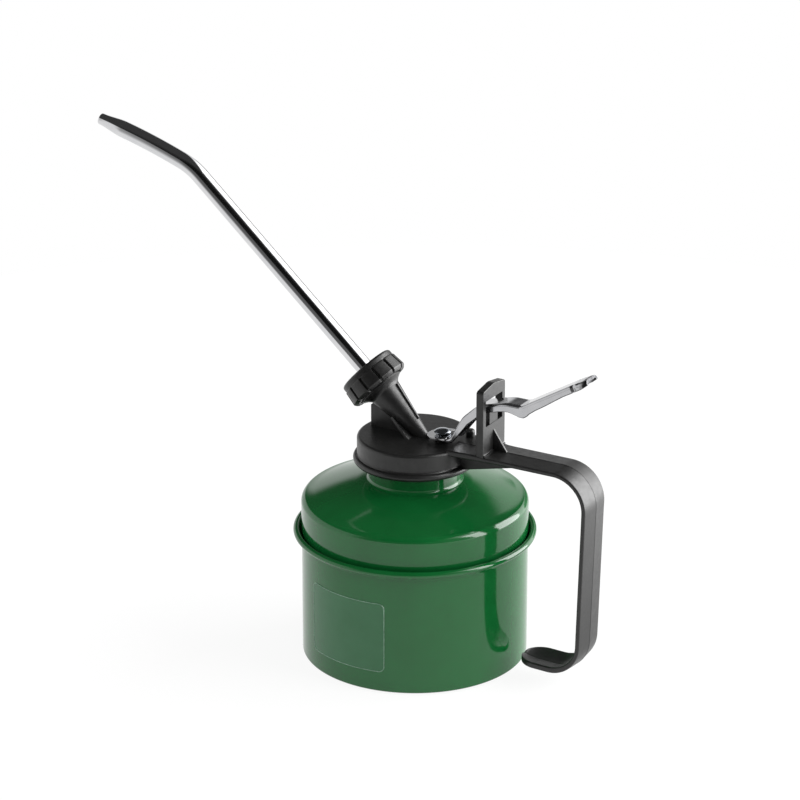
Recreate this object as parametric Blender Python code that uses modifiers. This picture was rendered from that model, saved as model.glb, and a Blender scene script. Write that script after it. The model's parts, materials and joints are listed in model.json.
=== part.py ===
# Pump oil can: a pressed-steel can with a screwed-on nylon head that carries the pump, the bent
# spout and the strap handle. A thumb lever rocks on an upright of the head and lifts the pump rod.
#
# Metres, +Z up. The origin is the centre of the can's flat base. +X points to the handle, the
# spout leans towards -X, and spout, lever and handle all lie in the plane Y = 0.
# Driving dimensions are in millimetres, multiplied by MM where a mesh is made.

import math

import bmesh
import bpy
from mathutils import Matrix, Vector

MM = 0.001

# Clearances
SEAT_GAP = 0.3
SLIDE_GAP = 0.3

# Can
CAN_R = 50.0
SHEET = 0.8
BASE_CORNER_R = 1.0
CUP_FLARE_Z = 53.4
BEAD_Z = 57.4
BEAD_R = 1.5
BEAD_OUT = 2.25
DOME_OUT = 0.1
DOME_SKIRT = 7.0
SHOULDER_Z = 70.6
SHOULDER_R = 3.2
CONE_TOP_R = 23.2
CONE_TOP_Z = 81.2
CONE_CROWN = 0.5
NECK_R = 20.9

# Screw cap of the head
CAP_TOP_Z = 101.7
CAP_HEIGHT = 12.2
CAP_R = 25.5
CAP_PLATE = 3.0
CAP_EDGE_R = 1.4
CAP_BORE_R = 22.3
CAP_BEAD_R = 1.7
GASKET_T = 1.0
CAP_PITCH = 3.5
NECK_THREAD_R = 0.75
NECK_THREAD_TURNS = 1.5
NECK_THREAD_DROP = 1.3
CAP_THREAD_R = 0.9
CAP_THREAD_TURNS = 1.0
CAP_THREAD_RISE = 1.2

# Spout socket, measured along the spout's axis from its foot on the cap
SPOUT_ANGLE = 41.6
SPOUT_FOOT_X = 4.04
SOCKET_FOOT_R = 2.75
SOCKET_TOP_R = 7.1
SOCKET_FLARE_S = 24.4
SOCKET_THREAD_S = 27.9
SOCKET_FACE_S = 34.3
SOCKET_THREAD_ROOT_R = 10.5
PASSAGE_R = 1.0
VALVE_SEAT_S = 20.0
VALVE_CHAMBER_R = 3.4
DELIVERY_SEAT_R = 1.6
DELIVERY_SEAT_DEPTH = 2.5
PASSAGE_END_S = -11.0
DELIVERY_BALL_R = 3.0

# Thin rib above the socket, web below it and a gusset on each side
FIN_T = 1.2
RIB_T = 1.0
RIB_START_S = 5.0
RIB_CREST_S = 7.0
RIB_HEIGHT = 0.9
WEB_EDGE_X = -22.1
WEB_EDGE_RISE = 9.7
WEB_INNER_X = 3.0
GUSSET_LOW_R = -3.6
GUSSET_T = 1.4
GUSSET_FOOT_HALF_W = 7.7
GUSSET_TOP_HALF_W = 5.0
GUSSET_TOP_S = 15.0

# Spout union
NUT_START_S = 28.4
NUT_R_LOW = 14.3
NUT_R_TOP = 13.2
NUT_WEB = 1.3
NUT_GROOVES = 12
NUT_GROOVE_W = 1.1
NUT_GROOVE_DEPTH = 0.8
NUT_BAND = 2.9
NUT_PITCH = 2.5
NUT_THREAD_TURNS = 1.0
NUT_THREAD_R = 0.6
NUT_BORE_R = 11.5
SEAL_T = 1.0
SEAL_R = 9.8
FERRULE_T = 1.4
FERRULE_R = 9.4

# Spout tube
SPOUT_R = 3.8
SPOUT_BORE_R = 2.9
SPOUT_START_S = 25.7
SPOUT_BEND_S = 157.1
SPOUT_BEND_R = 30.0
SPOUT_TIP_ANGLE = 20.5
SPOUT_END_ANGLE = 14.5
SPOUT_TIP_LENGTH = 50.5
SPOUT_SWAGE_LENGTH = 13.0
SPOUT_SWAGE_R = 2.6
SPOUT_SWAGE_BORE_R = 1.8

# Lever upright, with the heights of its window above the lever's eye
POST_X = 35.65
POST_T = 3.5
POST_HALF_W = 9.9
POST_CROWN_HALF_W = 1.2
POST_CROWN_RISE = 1.3
POST_CORNER_R = 1.5
POST_OVER_SLOT = 6.3
SLOT_HALF_W = 7.4
SLOT_TOP_RISE = 21.8
NOTCH_HALF_W = 3.65
NOTCH_BOTTOM_RISE = 10.0
FULCRUM_RISE = 17.1
FULCRUM_RAMP = 1.3
FULCRUM_RAMP_DROP = 0.5
POST_RIB_GAP = 3.1
POST_RIB_REACH = 6.6
POST_RIB_T = 1.2

# Strap handle, with its top's height above the cap
STRAP_RISE = 0.8
STRAP_T = 2.8
STRAP_START_X = 21.5
STRAP_ROOT_HALF_W = 11.4
STRAP_TOP_HALF_W = 9.6
STRAP_GRIP_HALF_W = 9.3
STRAP_BACK_X_HIGH = 89.5
STRAP_BACK_X_LOW = 87.5
STRAP_TOP_BEND_R = 15.4
STRAP_LOW_BEND_R = 14.8
STRAP_BOTTOM_Z = 6.2
TONGUE_TIP_X = 55.3
TONGUE_HALF_W = 9.0
TONGUE_RISE = 0.8
STRAP_EDGE_R = 0.7
KEEL_HALF_W = 4.0
KEEL_DROP = 10.1
KEEL_END_X = 60.0

# Thumb lever: corners of its top line as (x, height above the eye, bend radius)
PUMP_X = 13.8
EYE_RISE = 3.5
LEVER_SHEET = 1.2
LEVER_HALF_W = 5.6
EYE_R = 7.0
EYE_END_X = 18.3
EYE_HOLE_R = 2.8
LEVER_START_X = 16.6
LEVER_TOP_LINE = (
    (LEVER_START_X, 0.0, 0.0),
    (19.9, 0.0, 2.0),
    (25.9, 11.0, 10.0),
    (33.5, 18.2, 14.0),
    (47.0, 21.8, 16.0),
    (54.6, 21.8, 4.0),
    (79.6, 36.7, 9.0),
    (85.2, 39.5, 0.0),
)
FLANGE_DEPTHS = (
    (LEVER_START_X, 1.9),
    (20.5, 2.3),
    (22.1, 2.8),
    (24.5, 3.6),
    (27.0, 4.0),
    (31.0, 4.1),
    (36.0, 3.6),
    (43.0, 3.6),
    (49.4, 4.0),
    (54.6, 5.4),
    (56.2, 4.6),
    (59.5, 4.1),
    (69.0, 3.5),
    (79.4, 3.3),
)
LEVER_CORNER_R = 1.3
PAD_START_X = 79.5
PAD_BLEND = 3.0
PAD_CORNER_R = 4.4

# Pump
LEVER_PIVOT_INSET = 0.5
ROD_R = 1.8
RIVET_R = 3.75
RIVET_HEIGHT = 1.5
GLAND_R = 3.6
GLAND_SINK = 1.2
SEAL_SEAT_R = 3.0
SEAL_DEPTH = 1.4
ROD_BORE_GAP = 0.45
BRIDGE_X = 4.0
BRIDGE_HALF_W = 3.4
SPIGOT_R = 4.3
SPIGOT_DEPTH = 10.7
BARREL_R = 5.4
BARREL_WALL = 0.8
BARREL_DROP = 5.7
BARREL_LENGTH = 49.0
PISTON_HEIGHT = 9.5
PISTON_NUT_T = 2.2
PISTON_NUT_R = 3.2
PISTON_CUP_H = 3.0
PISTON_CUP_FLOOR = 1.2
PISTON_CUP_LIP = 0.7
PISTON_WASHER_T = 1.0
FLANGE_R = 3.9
FLANGE_T = 1.2
SPRING_WIRE_R = 0.45
SPRING_COIL_R = 3.3
SPRING_TURNS = 8
FOOT_COLLAR_T = 3.0
FOOT_PLUG_T = 5.0
FOOT_SEAT_R = 1.3
FOOT_BALL_R = 1.75
FOOT_CHAMBER_R = 2.3
FOOT_BALL_LIFT = 0.8
SUCTION_R = 2.2
SUCTION_BORE_R = 1.4
SUCTION_END_Z = 5.0
STRAINER_R = 3.4
STRAINER_H = 6.0
STRAINER_FLOOR_GAP = 1.6

# Boss on the strap's root, behind the lever
BOSS_X = 23.0
BOSS_Y = 8.4
BOSS_R = 2.0
BOSS_HEIGHT = 3.3

# Angle in degrees that one facet takes on large, small and tiny turned pieces
FACET_LARGE = 7.5
FACET_SMALL = 15.0
FACET_TINY = 22.5

# Worked out from the dimensions above
STEPS_CAN = STEPS_CAP = STEPS_NUT = round(360 / FACET_LARGE)
STEPS_SMALL = round(360 / FACET_SMALL)
STEPS_TINY = round(360 / FACET_TINY)
EYE_TOP_Z = CAP_TOP_Z + EYE_RISE
STRAP_TOP_Z = CAP_TOP_Z + STRAP_RISE
WEB_EDGE_TOP_Z = CAP_TOP_Z + WEB_EDGE_RISE
KEEL_START_Z = CAP_TOP_Z - KEEL_DROP
BOSS_TOP_Z = STRAP_TOP_Z + BOSS_HEIGHT
SLOT_TOP_Z = EYE_TOP_Z + SLOT_TOP_RISE
NOTCH_BOTTOM_Z = EYE_TOP_Z + NOTCH_BOTTOM_RISE
FULCRUM_Z = EYE_TOP_Z + FULCRUM_RISE
POST_TOP_Z = SLOT_TOP_Z + POST_OVER_SLOT
POST_SHOULDER_Z = POST_TOP_Z - POST_CROWN_RISE
POST_RIB_TOP_Z = NOTCH_BOTTOM_Z - POST_RIB_GAP
SPOUT_TILT = math.radians(SPOUT_ANGLE)
SPOUT_DIR = Vector((-math.cos(SPOUT_TILT), 0.0, math.sin(SPOUT_TILT)))
SPOUT_FOOT = Vector((SPOUT_FOOT_X, 0.0, CAP_TOP_Z))
PLATE_UNDER_Z = CAP_TOP_Z - CAP_PLATE
NECK_TOP_Z = PLATE_UNDER_Z - GASKET_T - 2 * SEAT_GAP
BARREL_BORE_R = BARREL_R - BARREL_WALL
BARREL_TOP_Z = PLATE_UNDER_Z - BARREL_DROP
BARREL_BOTTOM_Z = BARREL_TOP_Z - BARREL_LENGTH
PISTON_BOTTOM_Z = BARREL_BOTTOM_Z + PISTON_HEIGHT
SPIGOT_BOTTOM_Z = PLATE_UNDER_Z - SPIGOT_DEPTH
CAP_FOOT_Z = CAP_TOP_Z - CAP_HEIGHT
NECK_THREAD_Z = CAP_FOOT_Z - NECK_THREAD_DROP
PISTON_CUP_Z = PISTON_BOTTOM_Z + PISTON_NUT_T + SEAT_GAP
PISTON_WASHER_Z = PISTON_CUP_Z + PISTON_CUP_FLOOR + SEAT_GAP
FLANGE_Z = PISTON_CUP_Z + PISTON_CUP_H + SEAT_GAP
GLAND_SEAT_Z = CAP_TOP_Z - GLAND_SINK
SEAL_SEAT_Z = GLAND_SEAT_Z - SEAL_DEPTH - SEAT_GAP
SEAL_S = SOCKET_FACE_S + SEAT_GAP
FERRULE_S = SEAL_S + SEAL_T + SEAT_GAP
NUT_CEILING_S = FERRULE_S + FERRULE_T + SEAT_GAP
NUT_TOP_S = NUT_CEILING_S + NUT_WEB
LEVER_PIVOT = Vector((PUMP_X - RIVET_R + LEVER_PIVOT_INSET, 0.0, EYE_TOP_Z))


def fresh_scene():
    """Remove every object and make the collections for the parts and for the cutters."""
    for obj in list(bpy.data.objects):
        bpy.data.objects.remove(obj, do_unlink=True)
    parts = bpy.data.collections.new("pump_oil_can")
    cutters = bpy.data.collections.new("cutters")
    bpy.context.scene.collection.children.link(parts)
    bpy.context.scene.collection.children.link(cutters)
    return parts, cutters


PARTS, CUTTERS = fresh_scene()


def finish(name, color, roughness, metallic):
    """One plain surface finish."""
    material = bpy.data.materials.new(name)
    material.use_nodes = True
    shader = material.node_tree.nodes["Principled BSDF"]
    shader.inputs["Base Color"].default_value = (*color, 1.0)
    shader.inputs["Roughness"].default_value = roughness
    shader.inputs["Metallic"].default_value = metallic
    return material


ENAMEL = finish("green_enamel", (0.005, 0.09, 0.022), 0.15, 0.0)
NYLON = finish("black_nylon", (0.02, 0.02, 0.02), 0.45, 0.0)
CHROME = finish("chrome", (0.75, 0.75, 0.76), 0.12, 1.0)
STEEL = finish("steel", (0.5, 0.5, 0.51), 0.3, 1.0)
BRASS = finish("brass", (0.7, 0.5, 0.2), 0.3, 1.0)
RUBBER = finish("rubber", (0.03, 0.03, 0.03), 0.7, 0.0)


def frame_empty(name, matrix):
    """An empty that carries the pieces of one axis."""
    empty = bpy.data.objects.new(name, None)
    empty.matrix_world = matrix
    PARTS.objects.link(empty)
    return empty


def spout_frame():
    """Origin on the cap at the socket's foot, local Z along the spout, local X up and outward."""
    turn = Matrix.Rotation(SPOUT_TILT - math.pi / 2, 4, "Y")
    return Matrix.Translation(SPOUT_FOOT * MM) @ turn


SPOUT_AXIS = frame_empty("spout_axis", spout_frame())
PUMP_AXIS = frame_empty("pump_axis", Matrix.Translation((PUMP_X * MM, 0.0, 0.0)))
LEVER_AXIS = frame_empty("lever_axis", Matrix.Translation(LEVER_PIVOT * MM))
BOSS_AXIS = frame_empty("boss_axis", Matrix.Translation((BOSS_X * MM, BOSS_Y * MM, 0.0)))


def place(name, mesh, material, parent=None, tool=False):
    """Put a mesh in the scene as a part, or as a hidden tool for a Boolean."""
    obj = bpy.data.objects.new(name, mesh)
    mesh.materials.append(material)
    obj.parent = parent
    if tool:
        CUTTERS.objects.link(obj)
        obj.hide_render = True
        obj.display_type = "WIRE"
    else:
        PARTS.objects.link(obj)
        mesh.shade_smooth()
        mesh.set_sharp_from_angle(angle=math.radians(35))
    return obj


def turned(name, profile, steps, material, parent=None, closed=True, tool=False):
    """A turned piece: (radius, height) points that run down the outer side first."""
    mesh = bpy.data.meshes.new(name)
    shape = bmesh.new()
    verts = [shape.verts.new((r * MM, 0.0, z * MM)) for r, z in profile]
    for a, b in zip(verts, verts[1:]):
        shape.edges.new((a, b))
    if closed:
        shape.edges.new((verts[-1], verts[0]))
    shape.to_mesh(mesh)
    shape.free()
    obj = place(name, mesh, material, parent, tool)
    screw = obj.modifiers.new("turn", "SCREW")
    screw.axis = "Z"
    screw.steps = steps
    screw.render_steps = steps
    screw.use_merge_vertices = True
    screw.merge_threshold = 0.000001
    return obj


def arc(centre, radius, start, end, steps):
    """Points on an arc in a profile, with angles in degrees from the first axis."""
    points = []
    for i in range(steps + 1):
        angle = math.radians(start + (end - start) * i / steps)
        points.append((centre[0] + radius * math.cos(angle), centre[1] + radius * math.sin(angle)))
    return points


def loft(name, rings, material, parent=None, tool=False, shift=Vector((0.0, 0.0, 0.0))):
    """A solid through rings of points, closed by a flat face at both ends."""
    mesh = bpy.data.meshes.new(name)
    shape = bmesh.new()
    rows = [[shape.verts.new((Vector(p) - shift) * MM) for p in ring] for ring in rings]
    count = len(rows[0])
    for low, high in zip(rows, rows[1:]):
        for i in range(count):
            j = (i + 1) % count
            shape.faces.new((low[i], low[j], high[j], high[i]))
    shape.faces.new(rows[0])
    shape.faces.new(rows[-1])
    bmesh.ops.recalc_face_normals(shape, faces=shape.faces)
    shape.to_mesh(mesh)
    shape.free()
    return place(name, mesh, material, parent, tool)


def plate_xz(name, outline, y_low, y_high, material, parent=None, tool=False):
    """A flat outline in the XZ plane, extruded along Y."""
    rings = [[(x, y, z) for x, z in outline] for y in (y_low, y_high)]
    return loft(name, rings, material, parent, tool)


def plate_yz(name, outline, x_low, x_high, material, parent=None, tool=False):
    """A flat outline in the YZ plane, extruded along X."""
    rings = [[(x, y, z) for y, z in outline] for x in (x_low, x_high)]
    return loft(name, rings, material, parent, tool)


def bored(name, radius, z_low, z_high, steps, parent=None):
    """A plain round cutter along the local Z axis."""
    profile = [(0.0, z_high), (radius, z_high), (radius, z_low), (0.0, z_low)]
    return turned(name, profile, steps, STEEL, parent, closed=False, tool=True)


def boolean(target, tool, operation):
    """Join, cut or trim a target with a tool object."""
    modifier = target.modifiers.new(tool.name, "BOOLEAN")
    modifier.operation = operation
    modifier.solver = "EXACT"
    modifier.object = tool


def wire(name, points, radius, resolution, material, parent=None, tool=False, radii=None):
    """A round bar along points, made a closed mesh with its end caps welded."""
    curve = bpy.data.curves.new(name, "CURVE")
    curve.dimensions = "3D"
    curve.bevel_depth = radius * MM
    curve.bevel_resolution = resolution
    curve.use_fill_caps = True
    curve.render_resolution_u = 0
    spline = curve.splines.new("POLY")
    spline.points.add(len(points) - 1)
    for i, point in enumerate(points):
        spline.points[i].co = (point[0] * MM, point[1] * MM, point[2] * MM, 1.0)
        spline.points[i].radius = radii[i] / radius if radii else 1.0
    guide = bpy.data.objects.new(name + "_guide", curve)
    CUTTERS.objects.link(guide)
    view = bpy.context.evaluated_depsgraph_get()
    mesh = bpy.data.meshes.new_from_object(guide.evaluated_get(view))
    bpy.data.objects.remove(guide, do_unlink=True)
    shape = bmesh.new()
    shape.from_mesh(mesh)
    bmesh.ops.remove_doubles(shape, verts=shape.verts, dist=0.000001)
    bmesh.ops.recalc_face_normals(shape, faces=shape.faces)
    shape.to_mesh(mesh)
    shape.free()
    mesh.name = name
    mesh.materials.clear()
    return place(name, mesh, material, parent, tool)


def helix(radius, pitch, turns, z_start, per_turn, start_angle=0.0):
    """Points of a right-hand helix about the local Z axis."""
    count = round(turns * per_turn)
    points = []
    for i in range(count + 1):
        angle = 2 * math.pi * i / per_turn
        x = radius * math.cos(start_angle + angle)
        y = radius * math.sin(start_angle + angle)
        points.append((x, y, z_start + pitch * i / per_turn))
    return points


def rounded_path(corners, bend_steps):
    """Points (x, z) along straight runs whose inner corners (x, z, radius) are rounded."""
    points = [Vector(corners[0][:2])]
    for before, here, after in zip(corners, corners[1:], corners[2:]):
        corner = Vector(here[:2])
        way_in = (corner - Vector(before[:2])).normalized()
        way_out = (Vector(after[:2]) - corner).normalized()
        turn = way_in.angle_signed(way_out)
        reach = here[2] * math.tan(abs(turn) / 2)
        start = corner - way_in * reach
        side = Vector((-way_in.y, way_in.x)) * (-1 if turn > 0 else 1)
        centre = start + side * here[2]
        arm = start - centre
        for i in range(bend_steps + 1):
            angle = -turn * i / bend_steps
            spun = Matrix.Rotation(angle, 2) @ arm
            points.append(centre + spun)
    points.append(Vector(corners[-1][:2]))
    return points


def headings(points):
    """Unit direction at each point of a path, the mean of its two neighbours' runs."""
    found = []
    for i in range(len(points)):
        before = points[max(i - 1, 0)]
        after = points[min(i + 1, len(points) - 1)]
        found.append((after - before).normalized())
    return found


def lengths(points):
    """Distance along a path up to each point."""
    total = [0.0]
    for a, b in zip(points, points[1:]):
        total.append(total[-1] + (b - a).length)
    return total


def between(x, table):
    """Straight-line reading of a small table of (place, value)."""
    if x <= table[0][0]:
        return table[0][1]
    for (x0, v0), (x1, v1) in zip(table, table[1:]):
        if x <= x1:
            return v0 + (v1 - v0) * (x - x0) / (x1 - x0)
    return table[-1][1]


def on_spout(s, r=0.0):
    """World point (x, z) at a distance along the spout's axis and off it, up and outward."""
    x = SPOUT_FOOT.x + s * SPOUT_DIR.x + r * math.sin(SPOUT_TILT)
    z = SPOUT_FOOT.z + s * SPOUT_DIR.z + r * math.cos(SPOUT_TILT)
    return x, z


# The can

def reservoir_cup():
    """Cylindrical can with a flat base and a rolled bead at its rim."""
    corner = arc((CAN_R - BASE_CORNER_R, BASE_CORNER_R), BASE_CORNER_R, 0, -90, 3)
    inner_r = CAN_R - SHEET
    bead = (CAN_R + BEAD_OUT, BEAD_Z)
    profile = arc(bead, BEAD_R, 180, -130, 9)
    profile += [(CAN_R + 0.25, CUP_FLARE_Z + 1.6), (CAN_R, CUP_FLARE_Z)]
    profile += corner
    profile += [(0.0, 0.0), (0.0, SHEET), (inner_r - BASE_CORNER_R, SHEET)]
    profile += [(inner_r, SHEET + BASE_CORNER_R), (inner_r, CUP_FLARE_Z + 0.3)]
    first = profile.index((0.0, 0.0))
    open_profile = profile[first + 1:] + profile[:first + 1]
    return turned("reservoir_cup", open_profile, STEPS_CAN, ENAMEL, closed=False)


def dome_profile():
    """Outer side of the dome from the neck's rim down to the skirt's end."""
    wall_r = CAN_R + DOME_OUT
    skirt_r = CAN_R - SHEET - SLIDE_GAP
    cone_start = (wall_r - SHOULDER_R * 1.06, SHOULDER_Z + SHOULDER_R * 0.98)
    middle = ((cone_start[0] + CONE_TOP_R) / 2, (cone_start[1] + CONE_TOP_Z) / 2 + CONE_CROWN)
    shoulder = arc((wall_r - SHOULDER_R, SHOULDER_Z), SHOULDER_R, 60, 0, 3)
    return (
        [(NECK_R, NECK_TOP_Z), (NECK_R, CONE_TOP_Z + 1.4), (NECK_R + 0.7, CONE_TOP_Z + 0.4)]
        + [(CONE_TOP_R, CONE_TOP_Z), middle, cone_start]
        + shoulder
        + [(wall_r, BEAD_Z + 0.4), (skirt_r, BEAD_Z - 3.4), (skirt_r, BEAD_Z - DOME_SKIRT)]
    )


def reservoir_dome():
    """Dome with shoulder, low cone and neck; the neck carries one rolled thread."""
    outer = dome_profile()
    wall_r = CAN_R + DOME_OUT - SHEET
    skirt_r = CAN_R - SHEET - SLIDE_GAP - SHEET
    inner = [(skirt_r, BEAD_Z - DOME_SKIRT), (skirt_r, BEAD_Z - 3.2), (wall_r, BEAD_Z + 0.6)]
    inner += [(wall_r, SHOULDER_Z), (wall_r - 2.4, SHOULDER_Z + 2.3)]
    inner += [(CONE_TOP_R, CONE_TOP_Z - SHEET), (NECK_R - SHEET, CONE_TOP_Z)]
    inner += [(NECK_R - SHEET, NECK_TOP_Z)]
    dome = turned("reservoir_dome", outer + inner, STEPS_CAN, ENAMEL)
    points = helix(NECK_R, CAP_PITCH, NECK_THREAD_TURNS, NECK_THREAD_Z, STEPS_SMALL)
    ridge = wire("neck_thread", points, NECK_THREAD_R, 1, ENAMEL, tool=True)
    boolean(dome, ridge, "UNION")
    return dome


def cap_gasket():
    """Flat sealing ring between the neck's rim and the cap."""
    low = NECK_TOP_Z + SEAT_GAP
    profile = [(NECK_R + 0.2, low + GASKET_T), (NECK_R + 0.2, low)]
    profile += [(NECK_R - 2.2, low), (NECK_R - 2.2, low + GASKET_T)]
    return turned("cap_gasket", profile, STEPS_CAP, RUBBER)


# The head moulding

def screw_cap():
    """Cap with a rounded top edge, a smooth wall and a bead round its foot."""
    bottom = CAP_FOOT_Z
    bead_z = bottom + CAP_BEAD_R + 0.1
    edge = arc((CAP_R - CAP_EDGE_R, CAP_TOP_Z - CAP_EDGE_R), CAP_EDGE_R, 90, 0, 3)
    profile = [(0.0, CAP_TOP_Z)] + edge
    profile += [(CAP_R, bead_z + 2.1), (CAP_R - 0.5, bead_z + 1.6)]
    profile += arc((CAP_R, bead_z), CAP_BEAD_R, 60, -90, 5)
    profile += [(CAP_BORE_R + 0.4, bottom), (CAP_BORE_R, bottom + 0.6)]
    profile += [(CAP_BORE_R, PLATE_UNDER_Z), (0.0, PLATE_UNDER_Z)]
    return turned("head_moulding", profile, STEPS_CAP, NYLON, closed=False)


def cap_thread():
    """Inner thread of the cap, half a pitch out of step with the neck's."""
    start_z = CAP_FOOT_Z + CAP_THREAD_RISE
    phase = 2 * math.pi * ((start_z - NECK_THREAD_Z) / CAP_PITCH - 0.5)
    points = helix(CAP_BORE_R, CAP_PITCH, CAP_THREAD_TURNS, start_z, STEPS_SMALL, phase)
    return wire("cap_thread", points, CAP_THREAD_R, 1, NYLON, tool=True)


def socket_cone():
    """Funnel-shaped spout socket with its flared, threaded head."""
    profile = [(0.0, SOCKET_FACE_S), (SOCKET_THREAD_ROOT_R - 0.5, SOCKET_FACE_S)]
    profile += [(SOCKET_THREAD_ROOT_R, SOCKET_FACE_S - 0.5), (SOCKET_THREAD_ROOT_R, SOCKET_THREAD_S)]
    profile += [(SOCKET_THREAD_ROOT_R - 1.2, SOCKET_THREAD_S - 0.7)]
    profile += [(SOCKET_TOP_R + 1.0, SOCKET_THREAD_S - 1.8), (SOCKET_TOP_R, SOCKET_FLARE_S)]
    profile += [(SOCKET_FOOT_R, 0.0), (SOCKET_FOOT_R - 0.3, -2.0), (0.0, -2.0)]
    return turned("socket_cone", profile, STEPS_SMALL, NYLON, SPOUT_AXIS, closed=False, tool=True)


def socket_thread():
    """Outer thread of the socket's head."""
    start = SOCKET_THREAD_S + 1.4
    points = helix(SOCKET_THREAD_ROOT_R, NUT_PITCH, NUT_THREAD_TURNS, start, STEPS_SMALL)
    return wire("socket_thread", points, NUT_THREAD_R, 1, NYLON, SPOUT_AXIS, tool=True)


def socket_fins():
    """Thin rib above, web below and a gusset on each side of the socket."""
    cone = ((0.0, SOCKET_FOOT_R), (SOCKET_FLARE_S, SOCKET_TOP_R))
    crest_r = between(RIB_CREST_S, cone) + RIB_HEIGHT
    top = [on_spout(RIB_START_S), on_spout(RIB_CREST_S, crest_r)]
    top += [on_spout(SOCKET_FLARE_S, SOCKET_TOP_R + 1.0), on_spout(SOCKET_FLARE_S + 1.5)]
    tools = [plate_xz("rib_above", top, -RIB_T / 2, RIB_T / 2, NYLON, tool=True)]
    flare = on_spout(SOCKET_FLARE_S + 1.2, -SOCKET_TOP_R - 0.7)
    foot_z = CAP_TOP_Z - 1.0
    web = [(WEB_EDGE_X, foot_z), (WEB_INNER_X, foot_z), on_spout(SOCKET_FLARE_S + 1.0), flare]
    web += [(WEB_EDGE_X, WEB_EDGE_TOP_Z)]
    tools.append(plate_xz("web_below", web, -FIN_T / 2, FIN_T / 2, NYLON, tool=True))
    foot, top = GUSSET_FOOT_HALF_W, GUSSET_TOP_HALF_W
    outline = [(-foot, 0.0), (foot, 0.0), (top, GUSSET_TOP_S), (-top, GUSSET_TOP_S)]
    rings = [[(r, y, s) for y, s in outline] for r in (GUSSET_LOW_R, GUSSET_LOW_R + GUSSET_T)]
    tools.append(loft("side_gussets", rings, NYLON, SPOUT_AXIS, tool=True))
    return tools


def pump_spigot():
    """Spigot under the cap that the pump barrel is pressed on, with the bridge of the oil passage."""
    top = PLATE_UNDER_Z + 1.0
    profile = [(0.0, top), (SPIGOT_R, top), (SPIGOT_R, SPIGOT_BOTTOM_Z), (0.0, SPIGOT_BOTTOM_Z)]
    spigot = turned("pump_spigot", profile, STEPS_SMALL, NYLON, PUMP_AXIS, closed=False, tool=True)
    under = BARREL_TOP_Z + SEAT_GAP
    bridge = [(BRIDGE_X, top), (BRIDGE_X, under), (PUMP_X, under), (PUMP_X, top)]
    return [spigot, plate_xz("oil_bridge", bridge, -BRIDGE_HALF_W, BRIDGE_HALF_W, NYLON, tool=True)]


def lever_post():
    """Upright with an arched top; the lever passes through its window."""
    half = POST_HALF_W
    corner_z = POST_SHOULDER_Z - POST_CORNER_R
    right = arc((half - POST_CORNER_R, corner_z), POST_CORNER_R, 0, 75, 2)
    left = arc((POST_CORNER_R - half, corner_z), POST_CORNER_R, 105, 180, 2)
    foot_z = STRAP_TOP_Z - STRAP_T / 2
    crown = [(POST_CROWN_HALF_W, POST_TOP_Z), (-POST_CROWN_HALF_W, POST_TOP_Z)]
    outline = [(-half, foot_z), (half, foot_z)] + right + crown + left
    return plate_yz("lever_post", outline, POST_X, POST_X + POST_T, NYLON, tool=True)


def post_window():
    """Window of the upright: a wide slot with a notch for each flange of the lever."""
    slot = [(-SLOT_HALF_W, NOTCH_BOTTOM_Z), (SLOT_HALF_W, NOTCH_BOTTOM_Z)]
    slot += [(SLOT_HALF_W, SLOT_TOP_Z), (-SLOT_HALF_W, SLOT_TOP_Z)]
    return plate_yz("post_window", slot, POST_X - 1.0, POST_X + POST_T + 1.0, STEEL, tool=True)


def fulcrum_tongue():
    """Tongue between the notches; its ramped top is the lever's fulcrum."""
    outline = [(POST_X, NOTCH_BOTTOM_Z - 1.0), (POST_X + POST_T, NOTCH_BOTTOM_Z - 1.0)]
    outline += [(POST_X + POST_T, FULCRUM_Z), (POST_X + FULCRUM_RAMP, FULCRUM_Z)]
    outline += [(POST_X, FULCRUM_Z - FULCRUM_RAMP_DROP)]
    return plate_xz("fulcrum_tongue", outline, -NOTCH_HALF_W, NOTCH_HALF_W, NYLON, tool=True)


def post_rib():
    """Triangular rib behind the upright."""
    face = POST_X + POST_T
    foot_z = STRAP_TOP_Z - STRAP_T / 2
    outline = [(face - 1.0, foot_z), (face + POST_RIB_REACH, foot_z)]
    outline += [(face + POST_RIB_REACH, STRAP_TOP_Z), (face, POST_RIB_TOP_Z), (face - 1.0, POST_RIB_TOP_Z)]
    return plate_xz("post_rib", outline, -POST_RIB_T / 2, POST_RIB_T / 2, NYLON, tool=True)


def strap_corners():
    """Corners of the strap's middle line, from the cap round the grip to the tongue's tip."""
    half = STRAP_T / 2
    top_z = STRAP_TOP_Z - half
    low_z = STRAP_BOTTOM_Z + half
    return (
        (STRAP_START_X, top_z, 0.0),
        (STRAP_BACK_X_HIGH - half + 0.3, top_z, STRAP_TOP_BEND_R),
        (STRAP_BACK_X_LOW - half - 0.4, low_z, STRAP_LOW_BEND_R),
        (TONGUE_TIP_X, low_z + TONGUE_RISE, 0.0),
    )


def strap_half_width(along, total):
    """Half the strap's width, from its wide root to the round end of the tongue."""
    grip_start = STRAP_BACK_X_HIGH - STRAP_START_X + 12.0
    table = ((0.0, STRAP_ROOT_HALF_W), (22.0, STRAP_TOP_HALF_W), (grip_start - 18.0, STRAP_TOP_HALF_W),
             (grip_start, STRAP_GRIP_HALF_W), (total - 45.0, STRAP_GRIP_HALF_W),
             (total - 2 * TONGUE_HALF_W, TONGUE_HALF_W))
    left = total - along
    if left >= TONGUE_HALF_W:
        return between(along, table)
    reach = (TONGUE_HALF_W - left) / TONGUE_HALF_W
    return max(TONGUE_HALF_W * math.sqrt(1.0 - reach * reach), 1.6)


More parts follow.
